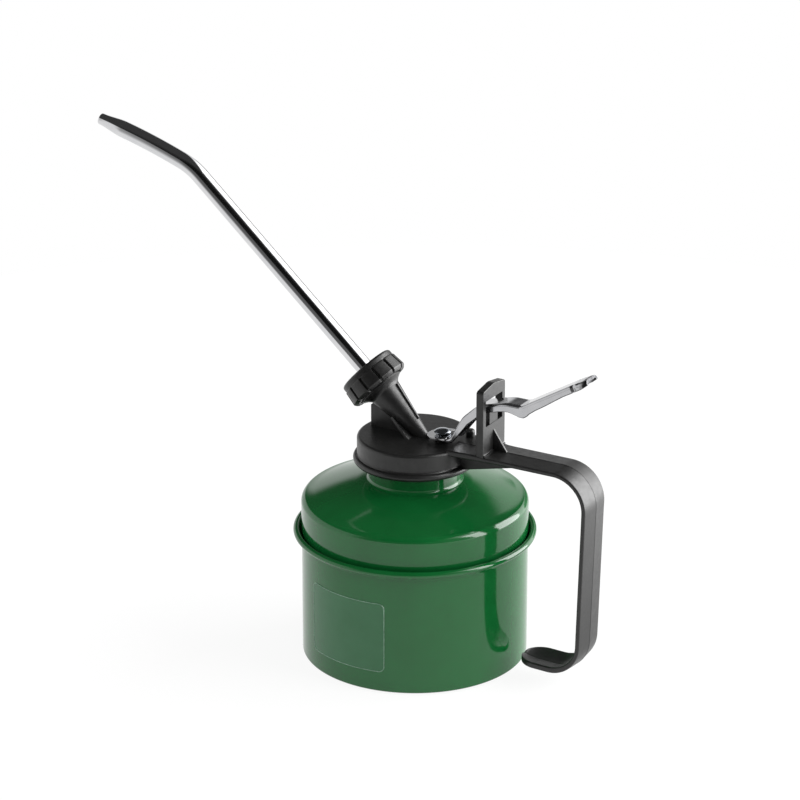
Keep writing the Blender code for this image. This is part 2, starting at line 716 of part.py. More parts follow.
def strap_section(half_w):
    """Flat section with chamfered edges, as (across, off the middle line)."""
    half_t = STRAP_T / 2
    e = min(STRAP_EDGE_R, half_w / 2)
    corner = [(half_w - e, half_t), (half_w, half_t - e), (half_w, e - half_t), (half_w - e, -half_t)]
    return corner + [(-y, n) for y, n in reversed(corner)]


def strap_handle():
    """The strap as a loft of flat sections along its path."""
    path = rounded_path(strap_corners(), 8)
    tip = path[-1]
    back = (path[-2] - tip).normalized()
    path = path[:-1] + [tip + back * TONGUE_HALF_W * k for k in (1.0, 0.75, 0.5, 0.3, 0.13, 0.0)]
    start_run = [path[0].lerp(path[1], k) for k in (0.0, 0.4, 0.75)]
    path = start_run + path[1:]
    along = lengths(path)
    rings = []
    for point, way, distance in zip(path, headings(path), along):
        out = Vector((-way.y, way.x))
        section = strap_section(strap_half_width(distance, along[-1]))
        rings.append([(point.x + out.x * n, y, point.y + out.y * n) for y, n in section])
    return loft("strap_handle", rings, NYLON, tool=True)


def strap_keel():
    """Tapered gusset under the strap, from the cap's wall outward."""
    under = STRAP_TOP_Z - STRAP_T / 2
    outline = [(CAP_R - 1.5, under), (CAP_R - 1.5, KEEL_START_Z), (CAP_R + 1.0, KEEL_START_Z)]
    outline += [(KEEL_END_X, STRAP_TOP_Z - STRAP_T - 0.2), (KEEL_END_X, under)]
    return plate_xz("strap_keel", outline, -KEEL_HALF_W, KEEL_HALF_W, NYLON, tool=True)


def root_boss():
    """Small round-topped boss on the far side of the strap's root."""
    shoulder_z = BOSS_TOP_Z - BOSS_R * 0.6
    profile = [(0.0, BOSS_TOP_Z), (BOSS_R * 0.6, BOSS_TOP_Z - 0.25), (BOSS_R, shoulder_z)]
    profile += [(BOSS_R, STRAP_TOP_Z - STRAP_T / 2), (0.0, STRAP_TOP_Z - STRAP_T / 2)]
    return turned("root_boss", profile, STEPS_TINY, NYLON, BOSS_AXIS, closed=False, tool=True)


def pump_bore():
    """Stepped cutter for the gland's seat, the seal's seat and the bore round the rod."""
    bore_r = ROD_R + ROD_BORE_GAP
    profile = [(0.0, CAP_TOP_Z + 2.0), (GLAND_R, CAP_TOP_Z + 2.0), (GLAND_R, GLAND_SEAT_Z)]
    profile += [(SEAL_SEAT_R, GLAND_SEAT_Z), (SEAL_SEAT_R, SEAL_SEAT_Z), (bore_r, SEAL_SEAT_Z)]
    profile += [(bore_r, SPIGOT_BOTTOM_Z - 1.0), (0.0, SPIGOT_BOTTOM_Z - 1.0)]
    cutter = turned("pump_bore", profile, STEPS_SMALL, STEEL, PUMP_AXIS, closed=False, tool=True)
    cutter.rotation_euler.z = math.pi / STEPS_SMALL
    return cutter


def spout_passage():
    """Stepped cutter for the spout's pilot, the valve chamber, its seat and the oil passage."""
    pilot_r = SPOUT_R + SLIDE_GAP
    pilot_s = SPOUT_START_S - SEAT_GAP
    seat_floor = VALVE_SEAT_S - DELIVERY_SEAT_DEPTH
    profile = [(0.0, SOCKET_FACE_S + 1.0), (pilot_r, SOCKET_FACE_S + 1.0), (pilot_r, pilot_s)]
    profile += [(VALVE_CHAMBER_R, pilot_s), (VALVE_CHAMBER_R, VALVE_SEAT_S)]
    profile += [(DELIVERY_SEAT_R, VALVE_SEAT_S), (DELIVERY_SEAT_R, seat_floor)]
    profile += [(PASSAGE_R, seat_floor), (PASSAGE_R, PASSAGE_END_S), (0.0, PASSAGE_END_S)]
    cutter = turned("spout_passage", profile, STEPS_SMALL, STEEL, SPOUT_AXIS, closed=False, tool=True)
    cutter.rotation_euler.z = math.pi / STEPS_SMALL
    return cutter


def head_moulding():
    """Cap, socket, fins, upright, strap and pump spigot in one nylon moulding."""
    head = screw_cap()
    added = [strap_keel(), strap_handle(), lever_post(), post_rib(), socket_cone(), socket_thread()]
    added += socket_fins() + pump_spigot() + [cap_thread(), root_boss()]
    for tool in added:
        boolean(head, tool, "UNION")
    boolean(head, post_window(), "DIFFERENCE")
    boolean(head, fulcrum_tongue(), "UNION")
    boolean(head, pump_bore(), "DIFFERENCE")
    boolean(head, spout_passage(), "DIFFERENCE")
    return head


# The spout and its union

def spout_path():
    """Middle line (x, z) of the spout from inside the socket to its tip, with its heading."""
    bend = math.radians(SPOUT_ANGLE - SPOUT_TIP_ANGLE)
    reach = SPOUT_BEND_R * math.tan(bend / 2)
    start = Vector(on_spout(SPOUT_START_S))
    points = [start, Vector(on_spout(SPOUT_BEND_S - reach))]
    angle = SPOUT_ANGLE
    point = points[-1].copy()
    runs = [(SPOUT_BEND_R * bend, SPOUT_TIP_ANGLE, 5)]
    tip_run = SPOUT_TIP_LENGTH - reach
    runs += [(tip_run - SPOUT_SWAGE_LENGTH, SPOUT_END_ANGLE, 3), (SPOUT_SWAGE_LENGTH, SPOUT_END_ANGLE, 4)]
    for length, end_angle, steps in runs:
        first = angle
        for i in range(steps):
            middle = math.radians(first + (end_angle - first) * (i + 0.5) / steps)
            point = point + Vector((-math.cos(middle), math.sin(middle))) * (length / steps)
            points.append(point.copy())
        angle = end_angle
    return points


def spout_radii(points, full, swaged):
    """Radius at each point: full size, then drawn down over the swage."""
    along = lengths(points)
    swage_start = along[-1] - SPOUT_SWAGE_LENGTH
    table = ((swage_start, full), (along[-1], swaged))
    return [between(distance, table) for distance in along]


def spout_tube():
    """Bent spout with a drawn-down tip and an open bore."""
    points = spout_path()
    outer = [(p.x, 0.0, p.y) for p in points]
    tube = wire("spout_tube", outer, SPOUT_R, 2, CHROME, radii=spout_radii(points, SPOUT_R, SPOUT_SWAGE_R))
    first = (points[0] - points[1]).normalized() * 2.0
    last = (points[-1] - points[-2]).normalized() * 2.0
    through = [points[0] + first] + points[1:-1] + [points[-1] + last]
    radii = spout_radii(points, SPOUT_BORE_R, SPOUT_SWAGE_BORE_R)
    bore = wire("spout_bore", [(p.x, 0.0, p.y) for p in through], SPOUT_BORE_R, 2, CHROME,
                tool=True, radii=radii)
    boolean(tube, bore, "DIFFERENCE")
    tube.parent = SPOUT_AXIS
    tube.matrix_parent_inverse = spout_frame().inverted()
    return tube


def spout_seal():
    """Washer between the socket's face and the spout's collar."""
    inner = SPOUT_R + SLIDE_GAP
    profile = [(SEAL_R, SEAL_S + SEAL_T), (SEAL_R, SEAL_S), (inner, SEAL_S), (inner, SEAL_S + SEAL_T)]
    return turned("spout_seal", profile, STEPS_SMALL, RUBBER, SPOUT_AXIS)


def spout_ferrule():
    """Collar brazed on the spout, pressed on the washer by the nut."""
    inner = SPOUT_R + SEAT_GAP / 2
    top = FERRULE_S + FERRULE_T
    profile = [(FERRULE_R, top), (FERRULE_R, FERRULE_S), (inner, FERRULE_S), (inner, top)]
    return turned("spout_ferrule", profile, STEPS_SMALL, BRASS, SPOUT_AXIS)


def nut_grooves():
    """Narrow grooves along the nut, one cutter that holds them all."""
    shape = bmesh.new()
    low = NUT_START_S - 1.0
    high = NUT_TOP_S - NUT_BAND
    mean_r = (NUT_R_LOW + NUT_R_TOP) / 2
    floor = mean_r - NUT_GROOVE_DEPTH
    depth = 3.0
    for i in range(NUT_GROOVES):
        turn = Matrix.Rotation(math.radians(15.0 + 30.0 + 360.0 * i / NUT_GROOVES), 4, "Z")
        spot = Matrix.Translation(((floor + depth / 2) * MM, 0.0, (low + high) / 2 * MM))
        size = Matrix.Diagonal((depth * MM, NUT_GROOVE_W * MM, (high - low) * MM, 1.0))
        bmesh.ops.create_cube(shape, size=1.0, matrix=turn @ spot @ size)
    mesh = bpy.data.meshes.new("nut_grooves")
    shape.to_mesh(mesh)
    shape.free()
    return place("nut_grooves", mesh, STEEL, SPOUT_AXIS, tool=True)


def spout_nut():
    """Ribbed union nut: twelve grip pads below a smooth band, with an inner thread."""
    low = NUT_START_S
    top = NUT_TOP_S
    hole = SPOUT_R + SLIDE_GAP
    profile = [(hole, top), (NUT_R_TOP - 1.2, top), (NUT_R_TOP - 0.35, top - 0.35), (NUT_R_TOP, top - 1.2)]
    profile += [(NUT_R_LOW, low + 0.4), (NUT_R_LOW - 0.4, low), (NUT_BORE_R + 0.3, low)]
    profile += [(NUT_BORE_R, low + 0.4), (NUT_BORE_R, NUT_CEILING_S), (hole, NUT_CEILING_S)]
    nut = turned("spout_nut", profile, STEPS_NUT, NYLON, SPOUT_AXIS)
    start = SOCKET_THREAD_S + 1.4 + NUT_PITCH / 2
    points = helix(NUT_BORE_R, NUT_PITCH, NUT_THREAD_TURNS, start, STEPS_SMALL)
    ridge = wire("nut_thread", points, NUT_THREAD_R, 1, NYLON, SPOUT_AXIS, tool=True)
    boolean(nut, ridge, "UNION")
    boolean(nut, nut_grooves(), "DIFFERENCE")
    return nut


def delivery_ball():
    """Outlet valve ball, resting just above its seat."""
    rest = math.sqrt((DELIVERY_BALL_R + SEAT_GAP) ** 2 - DELIVERY_SEAT_R ** 2)
    profile = arc((0.0, VALVE_SEAT_S + rest), DELIVERY_BALL_R, 90, -90, 8)
    profile = [(abs(r) if 0 < i < 8 else 0.0, z) for i, (r, z) in enumerate(profile)]
    return turned("delivery_ball", profile, STEPS_TINY, STEEL, SPOUT_AXIS, closed=False)


# The thumb lever

def lever_section(half_w, corner_r, depth):
    """Thin channel section, as (across, off the top line)."""
    t = LEVER_SHEET
    right = arc((half_w - corner_r, -corner_r), corner_r, 90, 0, 3) + [(half_w, -depth)]
    inner_r = corner_r - t
    inside = [(half_w - t, -depth)] + arc((half_w - corner_r, -corner_r), inner_r, 0, 90, 3)
    left_inside = [(-y, n) for y, n in reversed(inside)]
    left = [(-y, n) for y, n in reversed(right)]
    return right + inside + left_inside + left


def lever_channel():
    """The channel part of the lever, from the eye's bend to the thumb pad."""
    corners = [(x, EYE_TOP_Z + height, bend_r) for x, height, bend_r in LEVER_TOP_LINE]
    path = rounded_path(corners, 4)
    tip = path[-1]
    back = (path[-2] - tip).normalized()
    path = path[:-1] + [tip + back * LEVER_HALF_W * k for k in (1.0, 0.6, 0.25, 0.0)]
    rings = []
    pad_blend = ((PAD_START_X - 1.0, LEVER_CORNER_R), (PAD_START_X - 1.0 + PAD_BLEND, PAD_CORNER_R))
    for point, way in zip(path, headings(path)):
        out = Vector((-way.y, way.x))
        corner_r = between(point.x, pad_blend)
        left = (tip - point).length
        half_w = LEVER_HALF_W
        if left < LEVER_HALF_W:
            half_w = PAD_CORNER_R + 0.1 + (LEVER_HALF_W - PAD_CORNER_R) * math.sqrt(left / LEVER_HALF_W)
        depth = max(between(point.x, FLANGE_DEPTHS), corner_r + 0.05 if corner_r > 3 else 0.0)
        section = lever_section(half_w, min(corner_r, half_w - 0.05), depth)
        rings.append([(point.x + out.x * n, y, point.y + out.y * n) for y, n in section])
    return rings


def eye_outline():
    """Plan (x, y) of the flat eye: round about the rod, as wide as the channel at the bend."""
    start = math.degrees(math.asin(LEVER_HALF_W / EYE_R))
    ring = arc((PUMP_X, 0.0), EYE_R, start, 360.0 - start, 14)
    return ring + [(EYE_END_X, -LEVER_HALF_W), (EYE_END_X, LEVER_HALF_W)]


def thumb_lever():
    """Pressed channel lever with a pierced eye that sits under the rod's rivet head."""
    lever = loft("thumb_lever", lever_channel(), CHROME, LEVER_AXIS, shift=LEVER_PIVOT)
    rings = [[(x, y, z) for x, y in eye_outline()] for z in (EYE_TOP_Z - LEVER_SHEET, EYE_TOP_Z)]
    eye = loft("lever_eye", rings, CHROME, LEVER_AXIS, tool=True, shift=LEVER_PIVOT)
    hole = bored("eye_hole", EYE_HOLE_R, EYE_TOP_Z - 4.0, EYE_TOP_Z + 4.0, STEPS_SMALL, PUMP_AXIS)
    boolean(lever, eye, "UNION")
    boolean(lever, hole, "DIFFERENCE")
    return lever


# The pump

def rod_gland():
    """Guide bush of the rod, let into the cap under the lever's eye."""
    low = GLAND_SEAT_Z + SEAT_GAP
    top = EYE_TOP_Z - LEVER_SHEET - SEAT_GAP
    inner = ROD_R + SLIDE_GAP
    outer = GLAND_R - SEAT_GAP
    profile = [(inner, top), (outer - 0.5, top), (outer, top - 0.5), (outer, low), (inner, low)]
    return turned("rod_gland", profile, STEPS_TINY, NYLON, PUMP_AXIS)


def rod_seal():
    """Packing ring round the rod, under the gland."""
    low = SEAL_SEAT_Z + SEAT_GAP
    top = low + SEAL_DEPTH
    inner = ROD_R + SLIDE_GAP
    outer = SEAL_SEAT_R - SEAT_GAP
    profile = [(outer, top), (outer, low), (inner, low), (inner, top)]
    return turned("rod_seal", profile, STEPS_TINY, RUBBER, PUMP_AXIS)


def pump_cylinder():
    """Pump barrel, pressed on the cap's spigot."""
    profile = [(BARREL_R, BARREL_TOP_Z), (BARREL_R, BARREL_BOTTOM_Z)]
    profile += [(BARREL_BORE_R, BARREL_BOTTOM_Z), (BARREL_BORE_R, BARREL_TOP_Z)]
    return turned("pump_cylinder", profile, STEPS_SMALL, BRASS, PUMP_AXIS)


def plunger_rod():
    """Pump rod with its riveted head on the lever's eye."""
    under = EYE_TOP_Z + SEAT_GAP
    dome = [(0.0, under + RIVET_HEIGHT), (RIVET_R * 0.45, under + RIVET_HEIGHT * 0.93)]
    dome += [(RIVET_R * 0.8, under + RIVET_HEIGHT * 0.65), (RIVET_R, under + RIVET_HEIGHT * 0.25)]
    stud_r = ROD_R - SEAT_GAP
    waist_r = ROD_R + 1.1
    stud_z = PISTON_BOTTOM_Z - 0.6
    washer_top = PISTON_WASHER_Z + PISTON_WASHER_T
    profile = dome + [(RIVET_R - 0.1, under), (ROD_R, under), (ROD_R, FLANGE_Z + FLANGE_T)]
    profile += [(FLANGE_R, FLANGE_Z + FLANGE_T), (FLANGE_R, FLANGE_Z), (waist_r, FLANGE_Z)]
    profile += [(waist_r, washer_top + SEAT_GAP), (stud_r, washer_top + SEAT_GAP), (stud_r, stud_z)]
    profile += [(0.0, stud_z)]
    return turned("plunger_rod", profile, STEPS_TINY, STEEL, PUMP_AXIS, closed=False)


def piston_parts():
    """Nut, cup seal and washer of the piston, from the bottom up on the rod's end."""
    inner = ROD_R
    rim = BARREL_BORE_R - SLIDE_GAP
    nut_top = PISTON_BOTTOM_Z + PISTON_NUT_T
    nut = [(PISTON_NUT_R, nut_top), (PISTON_NUT_R, PISTON_BOTTOM_Z)]
    nut += [(inner, PISTON_BOTTOM_Z), (inner, nut_top)]
    floor = PISTON_CUP_Z + PISTON_CUP_FLOOR
    cup_top = PISTON_CUP_Z + PISTON_CUP_H
    lip_r = rim - PISTON_CUP_LIP
    cup = [(rim, cup_top), (rim, PISTON_CUP_Z + 0.6), (rim - 0.6, PISTON_CUP_Z), (inner, PISTON_CUP_Z)]
    cup += [(inner, floor), (lip_r - SEAT_GAP, floor), (lip_r, cup_top)]
    washer_top = PISTON_WASHER_Z + PISTON_WASHER_T
    washer_r = lip_r - 2 * SEAT_GAP
    washer = [(washer_r, washer_top), (washer_r, PISTON_WASHER_Z)]
    washer += [(inner, PISTON_WASHER_Z), (inner, washer_top)]
    turned("piston_nut", nut, 6, BRASS, PUMP_AXIS)
    turned("piston_cup", cup, STEPS_SMALL, RUBBER, PUMP_AXIS)
    turned("piston_washer", washer, STEPS_TINY, STEEL, PUMP_AXIS)


def return_spring():
    """Wound spring between the piston and the cap's spigot."""
    low = FLANGE_Z + FLANGE_T + SPRING_WIRE_R + SEAT_GAP
    high = SPIGOT_BOTTOM_Z - SPRING_WIRE_R - SEAT_GAP
    pitch = (high - low) / SPRING_TURNS
    points = helix(SPRING_COIL_R, pitch, SPRING_TURNS, low, 10)
    return wire("return_spring", points, SPRING_WIRE_R, 1, STEEL, PUMP_AXIS)


def foot_valve():
    """Foot of the barrel: valve body, its ball and the cage over the ball."""
    top = BARREL_BOTTOM_Z + FOOT_PLUG_T
    under = BARREL_BOTTOM_Z - SEAT_GAP
    low = under - FOOT_COLLAR_T
    plug_r = BARREL_BORE_R - SEAT_GAP
    seat_z = under - 0.5
    body = [(plug_r, top), (plug_r, under), (BARREL_R, under)]
    body += [(BARREL_R, low + 0.8), (BARREL_R - 0.8, low)]
    body += [(SUCTION_R + SEAT_GAP, low), (SUCTION_R + SEAT_GAP, low + 1.6), (FOOT_SEAT_R, low + 1.6)]
    body += [(FOOT_SEAT_R, seat_z), (FOOT_CHAMBER_R, seat_z + 1.0), (FOOT_CHAMBER_R, top)]
    turned("foot_valve_body", body, STEPS_SMALL, BRASS, PUMP_AXIS)
    rest = math.sqrt((FOOT_BALL_R + SEAT_GAP) ** 2 - FOOT_SEAT_R ** 2)
    ball = arc((0.0, seat_z + rest), FOOT_BALL_R, 90, -90, 8)
    ball = [(abs(r) if 0 < i < 8 else 0.0, z) for i, (r, z) in enumerate(ball)]
    turned("foot_valve_ball", ball, STEPS_TINY, STEEL, PUMP_AXIS, closed=False)
    ceiling = seat_z + rest + FOOT_BALL_R + FOOT_BALL_LIFT + SEAT_GAP
    cage = [(FOOT_CHAMBER_R - 0.2, ceiling + 0.8), (FOOT_CHAMBER_R - 0.2, ceiling)]
    cage += [(0.7, ceiling), (0.7, ceiling + 0.8)]
    turned("ball_cage", cage, STEPS_TINY, STEEL, PUMP_AXIS)


def suction_tube():
    """Dip tube from the foot valve to just above the can's floor."""
    top = BARREL_BOTTOM_Z - SEAT_GAP - FOOT_COLLAR_T + 1.6 - SEAT_GAP
    profile = [(SUCTION_R, top), (SUCTION_R, SUCTION_END_Z)]
    profile += [(SUCTION_BORE_R, SUCTION_END_Z), (SUCTION_BORE_R, top)]
    return turned("suction_tube", profile, STEPS_TINY, BRASS, PUMP_AXIS)


def inlet_strainer():
    """Cup-shaped strainer pushed on the end of the dip tube, open at its foot."""
    low = SHEET + STRAINER_FLOOR_GAP
    top = low + STRAINER_H
    inner = SUCTION_R + SEAT_GAP
    profile = [(inner, top), (STRAINER_R, top), (STRAINER_R, low), (STRAINER_R - 1.6, low)]
    profile += [(STRAINER_R - 1.6, low + 0.8), (inner, low + 1.4)]
    return turned("inlet_strainer", profile, STEPS_TINY, STEEL, PUMP_AXIS)


def build():
    """Make every piece of the can."""
    reservoir_cup()
    reservoir_dome()
    cap_gasket()
    head_moulding()
    rod_gland()
    rod_seal()
    pump_cylinder()
    plunger_rod()
    piston_parts()
    return_spring()
    foot_valve()
    suction_tube()
    inlet_strainer()
    thumb_lever()
    spout_tube()
    spout_seal()
    spout_ferrule()
    spout_nut()
    delivery_ball()


build()
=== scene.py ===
# Pump oil can: fine surfaces, finishes, floor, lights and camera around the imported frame.
#
# The frame is in metres, +Z up, with its origin at the centre of the can's flat base. +X points to
# the handle and the spout leans towards -X. Sizes here are in millimetres, multiplied by MM where
# a mesh is made. n means off a middle line, s means along the spout's axis from the cap.

import json
import math

import bmesh
import bpy
from mathutils import Matrix, Vector


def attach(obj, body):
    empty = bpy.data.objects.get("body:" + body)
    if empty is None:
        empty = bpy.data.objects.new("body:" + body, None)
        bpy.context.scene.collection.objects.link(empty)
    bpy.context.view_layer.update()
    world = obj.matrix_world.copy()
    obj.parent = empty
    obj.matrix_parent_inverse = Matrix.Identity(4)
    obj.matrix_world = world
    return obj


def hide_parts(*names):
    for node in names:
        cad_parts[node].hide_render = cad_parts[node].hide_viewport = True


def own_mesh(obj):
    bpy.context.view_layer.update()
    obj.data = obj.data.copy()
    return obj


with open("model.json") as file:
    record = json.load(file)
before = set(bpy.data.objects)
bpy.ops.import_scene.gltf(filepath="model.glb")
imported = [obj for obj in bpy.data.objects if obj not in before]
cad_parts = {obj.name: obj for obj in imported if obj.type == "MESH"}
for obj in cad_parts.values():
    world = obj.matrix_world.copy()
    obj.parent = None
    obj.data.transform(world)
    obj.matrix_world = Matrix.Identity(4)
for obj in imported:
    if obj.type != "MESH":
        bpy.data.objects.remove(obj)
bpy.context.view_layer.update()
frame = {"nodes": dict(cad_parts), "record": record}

MM = 0.001

# Gap between pieces that touch, and how far joined shapes and cutters run past a face
CLEARANCE = 0.3
OVERLAP = 1.0

# Facets of the fine surfaces
SIDES_CAN = 192
SIDES_CAP = 160
SIDES_SMALL = 72
SIDES_BORE = 48
SIDES_SPOUT = 64
ARC_STEPS = 8
SMOOTH_ANGLE = 32.0
MERGE = 0.000002

# Can
CAN_R = 50.0
SHEET = 0.8
BASE_CORNER_R = 1.0
BASE_RING_RS = (30.0, 40.0)
BASE_RING_W = 1.6
BASE_RING_DEPTH = 0.35
WALL_STEP = 6.0
CUP_FLARE_Z = 53.4
CUP_FLARE_RUN = 2.0
CUP_FLARE_OUT = 0.3
BEAD_Z = 57.4
BEAD_R = 1.48
BEAD_OUT = 2.25
DOME_OUT = 0.1
DOME_SKIRT = 7.0
SKIRT_STEP = 3.4
SHOULDER_Z = 70.6
SHOULDER_R = 3.2
CONE_TOP_R = 23.2
CONE_TOP_Z = 81.2
CONE_CROWN = 0.5
NECK_R = 20.9
NECK_TOP_Z = 97.1
NECK_UNDERCUT = 0.6
NECK_FILLET_R = 1.7

# Blank clear film on the can's wall: its angles about the can and its heights
FILM_ANGLES = (-121.9, -75.7)
FILM_Z = (9.6, 41.8)
FILM_CORNER_R = 2.6
FILM_T = 0.14
FILM_EDGE_R = 0.2

# Screw cap
CAP_TOP_Z = 101.7
CAP_FOOT_Z = 89.5
CAP_R = 25.5
CAP_PLATE = 3.0
CAP_EDGE_R = 1.4
CAP_BORE_R = 22.3
CAP_BEAD_R = 1.7
CAP_GROOVE_R = 1.25
CAP_GROOVE_DEPTH = 0.35
CAP_GROOVE_RISE = 2.35
CAP_PITCH = 3.5
CAP_THREAD_Z = 90.7
NECK_THREAD_Z = 88.2
NECK_THREAD_TURNS = 1.5
THREAD_R = 0.8

# Spout socket
SPOUT_ANGLE = 41.6
SPOUT_FOOT_X = 4.04
SOCKET_FOOT_R = 2.75
SOCKET_TOP_R = 7.1
SOCKET_FLARE_S = 24.4
SOCKET_THREAD_S = 27.9
SOCKET_FACE_S = 34.3
SOCKET_THREAD_ROOT_R = 10.5
VALVE_ROOM_R = 3.4
VALVE_SEAT_S = 20.0
VALVE_THROAT_R = 1.6
VALVE_THROAT = 2.5
PASSAGE_R = 1.0
PASSAGE_END_S = -11.0

# Thin rib above the socket, web below it and a gusset on each side
FIN_T = 1.2
RIB_T = 1.0
RIB_START_S = 5.0
RIB_CREST_S = 7.0
RIB_HEIGHT = 0.9
WEB_EDGE_X = -22.1
WEB_EDGE_TOP_Z = 111.4
WEB_INNER_X = 3.0
GUSSET_LOW_R = -3.6
GUSSET_T = 1.4
GUSSET_FOOT_HALF_W = 7.7
GUSSET_TOP_HALF_W = 5.0
GUSSET_TOP_S = 15.0

# Spout union nut, with the degrees off a groove's middle where its shape has points
NUT_START_S = 28.4
NUT_TOP_S = 38.9
NUT_CEILING_S = 37.6
NUT_R_LOW = 14.3
NUT_R_TOP = 13.2
NUT_GROOVES = 12
NUT_GROOVE_W = 1.1
NUT_GROOVE_DEPTH = 0.8
NUT_GROOVE_TURN = 15.0
NUT_BAND = 2.9
NUT_PAD_OUT = 0.4
NUT_BORE_R = 11.5
NUT_PITCH = 2.5
NUT_THREAD_R = 0.6
NUT_THREAD_S = 29.3
NUT_EDGE_R = 1.2
NUT_FOOT = 1.4
NUT_GROOVE_ANGLES = (0.6, 1.3, 1.9, 2.4, 2.9, 3.4, 4.0, 5.0, 7.0, 11.0)

# Spout tube
SPOUT_R = 3.8
SPOUT_BORE_R = 2.9
SPOUT_START_S = 25.7
SPOUT_BEND_S = 157.1
SPOUT_BEND_R = 30.0
SPOUT_TIP_ANGLE = 20.5
SPOUT_END_ANGLE = 14.5
SPOUT_TIP_LENGTH = 50.5
SPOUT_SWAGE_LENGTH = 13.0
SPOUT_SWAGE_R = 2.6
SPOUT_SWAGE_BORE_R = 1.8

# Lever upright
POST_X = 35.65
POST_T = 3.5
POST_HALF_W = 9.9
POST_TOP_Z = 133.3
POST_SHOULDER_Z = 132.0
POST_CORNER_R = 1.5
POST_CREST_R = 8.0
SLOT_HALF_W = 7.4
SLOT_TOP_Z = 127.0
NOTCH_HALF_W = 3.65
NOTCH_BOTTOM_Z = 115.2
FULCRUM_Z = 122.3
FULCRUM_RAMP = 1.3
TONGUE_RECESS = 0.2
POST_RIB_TOP_Z = 112.1
POST_RIB_REACH = 6.6
POST_RIB_T = 1.2
WINDOW_CORNER_R = 0.5
FILLET_R = 0.7
FILLET_HALF_W = 9.3

# Strap handle
STRAP_TOP_Z = 102.5
STRAP_T = 2.8
STRAP_START_X = 21.5
STRAP_ROOT_HALF_W = 11.4
STRAP_TOP_HALF_W = 9.6
STRAP_GRIP_HALF_W = 9.3
STRAP_TOP_FROM = 22.0
GRIP_PAST_BEND = 11.7
GRIP_TAPER = 18.0
SPOON_TAPER = 45.0
STRAP_BACK_X_HIGH = 89.8
STRAP_BACK_X_LOW = 87.1
STRAP_TOP_BEND_R = 15.4
STRAP_LOW_BEND_R = 14.8
STRAP_BOTTOM_Z = 6.2
STRAP_EDGE_R = 0.7
STRAP_ROOF = 0.7
ROOF_START = 12.0
ROOF_RUN = 8.0
SPOON_TIP_X = 55.3
SPOON_HALF_W = 9.0
SPOON_RISE = 0.8
SPOON_DISH = 1.9
SPOON_RIM_LIFT = 0.5
SPOON_CROWN = 0.45
SPOON_LINE = 0.12
SPOON_FADE = (19.0, 35.0)
KEEL_HALF_W = 4.0
KEEL_START_Z = 91.6
KEEL_END_X = 60.0
PARTING_W = 0.3
PARTING_H = 0.1
BOSS_X = 23.0
BOSS_Y = 8.4
BOSS_R = 2.0
BOSS_TOP_Z = 105.8
BOSS_EDGE_R = 1.2

# Thumb lever: corners of its top line as (x, z, bend radius), the depth of its flanges and its half width
# by x, and the pad's studs as (distance from the tip, places across)
PUMP_X = 13.8
LEVER_SHEET = 1.2
LEVER_RIM_R = 0.36
LEAST_LIP = 0.45
EYE_TOP_Z = 105.2
EYE_R = 7.0
EYE_END_X = 18.3
EYE_HOLE_R = 2.8
EYE_TILT = 5.0
LEVER_HALF_W = 5.6
LEVER_CORNERS = (
    (16.6, EYE_TOP_Z, 0.0),
    (19.9, EYE_TOP_Z, 2.0),
    (25.9, 116.2, 10.0),
    (33.5, 123.4, 14.0),
    (47.0, 127.0, 16.0),
    (54.6, 127.0, 4.0),
    (79.6, 141.9, 9.0),
    (85.2, 144.7, 0.0),
)
FLANGE_DEPTHS = ((16.6, 1.9), (20.5, 2.3), (22.1, 2.8), (24.5, 3.6), (27.0, 4.0), (31.0, 4.1), (36.0, 3.6),
                 (43.0, 3.6), (49.4, 4.0), (52.0, 4.6), (54.6, 5.4), (56.2, 4.6), (59.5, 4.1), (64.3, 3.9),
                 (69.0, 3.5), (73.7, 3.15), (79.4, 3.3), (82.4, 3.0), (85.2, 2.3))
LEVER_CORNER_R = 1.3
PAD_CORNER_R = 1.8
PAD_CORNER_XS = (78.5, 81.5)
TIP_HALF_W = 4.8
TIP_ROUND = 2.0
PAD_LENGTH = 9.5
STUD_ROWS = ((1.7, (-1.3, 1.3)), (4.1, (-2.7, 0.0, 2.7)), (6.4, (-1.5, 1.5)))
STUD_HEIGHT = 0.2
STUD_SPREAD = 0.55
# Where the thumb pad's painted reflection begins, and where painted shade darkens its very tip
PAD_PAINTED_REFLECTION_XS = (82.4, 83.9)
TIP_PAINTED_SHADE_XS = (83.8, 84.6)
LEVER_HALF_WIDTHS = ((50.0, 5.25), (54.0, 5.25), (55.2, 5.6), (77.8, 5.6), (79.0, 5.1), (80.4, 5.6))

# Plunger rod
ROD_R = 1.8
RIVET_R = 3.75
RIVET_HEIGHT = 1.5
RIVET_RIM = 0.25
ROD_END_Z = 52.9
FLANGE_Z = 59.3
FLANGE_R = 3.9
FLANGE_T = 1.2
STEM_STEP = 1.1
WASHER_TOP_Z = 58.5

# Bores for the rod's gland and its seal, spigot under the cap and the bridge beside it
GLAND_SEAT_Z = 100.5
GLAND_SEAT_R = 3.6
SEAL_SEAT_Z = 98.8
SEAL_SEAT_R = 3.0
ROD_BORE_R = 2.25
SPIGOT_R = 4.3
SPIGOT_BOTTOM_Z = 88.0
BRIDGE_X = 4.0
BRIDGE_UNDER_Z = 93.3
BRIDGE_HALF_W = 3.4

# Return spring, with how much of its rise is even; the rest is close turns at its ends
SPRING_WIRE_R = 0.45
SPRING_COIL_R = 3.3
SPRING_TURNS = 8
SPRING_LOW_Z = 61.25
SPRING_HIGH_Z = 87.25
SPRING_EVEN = 0.65

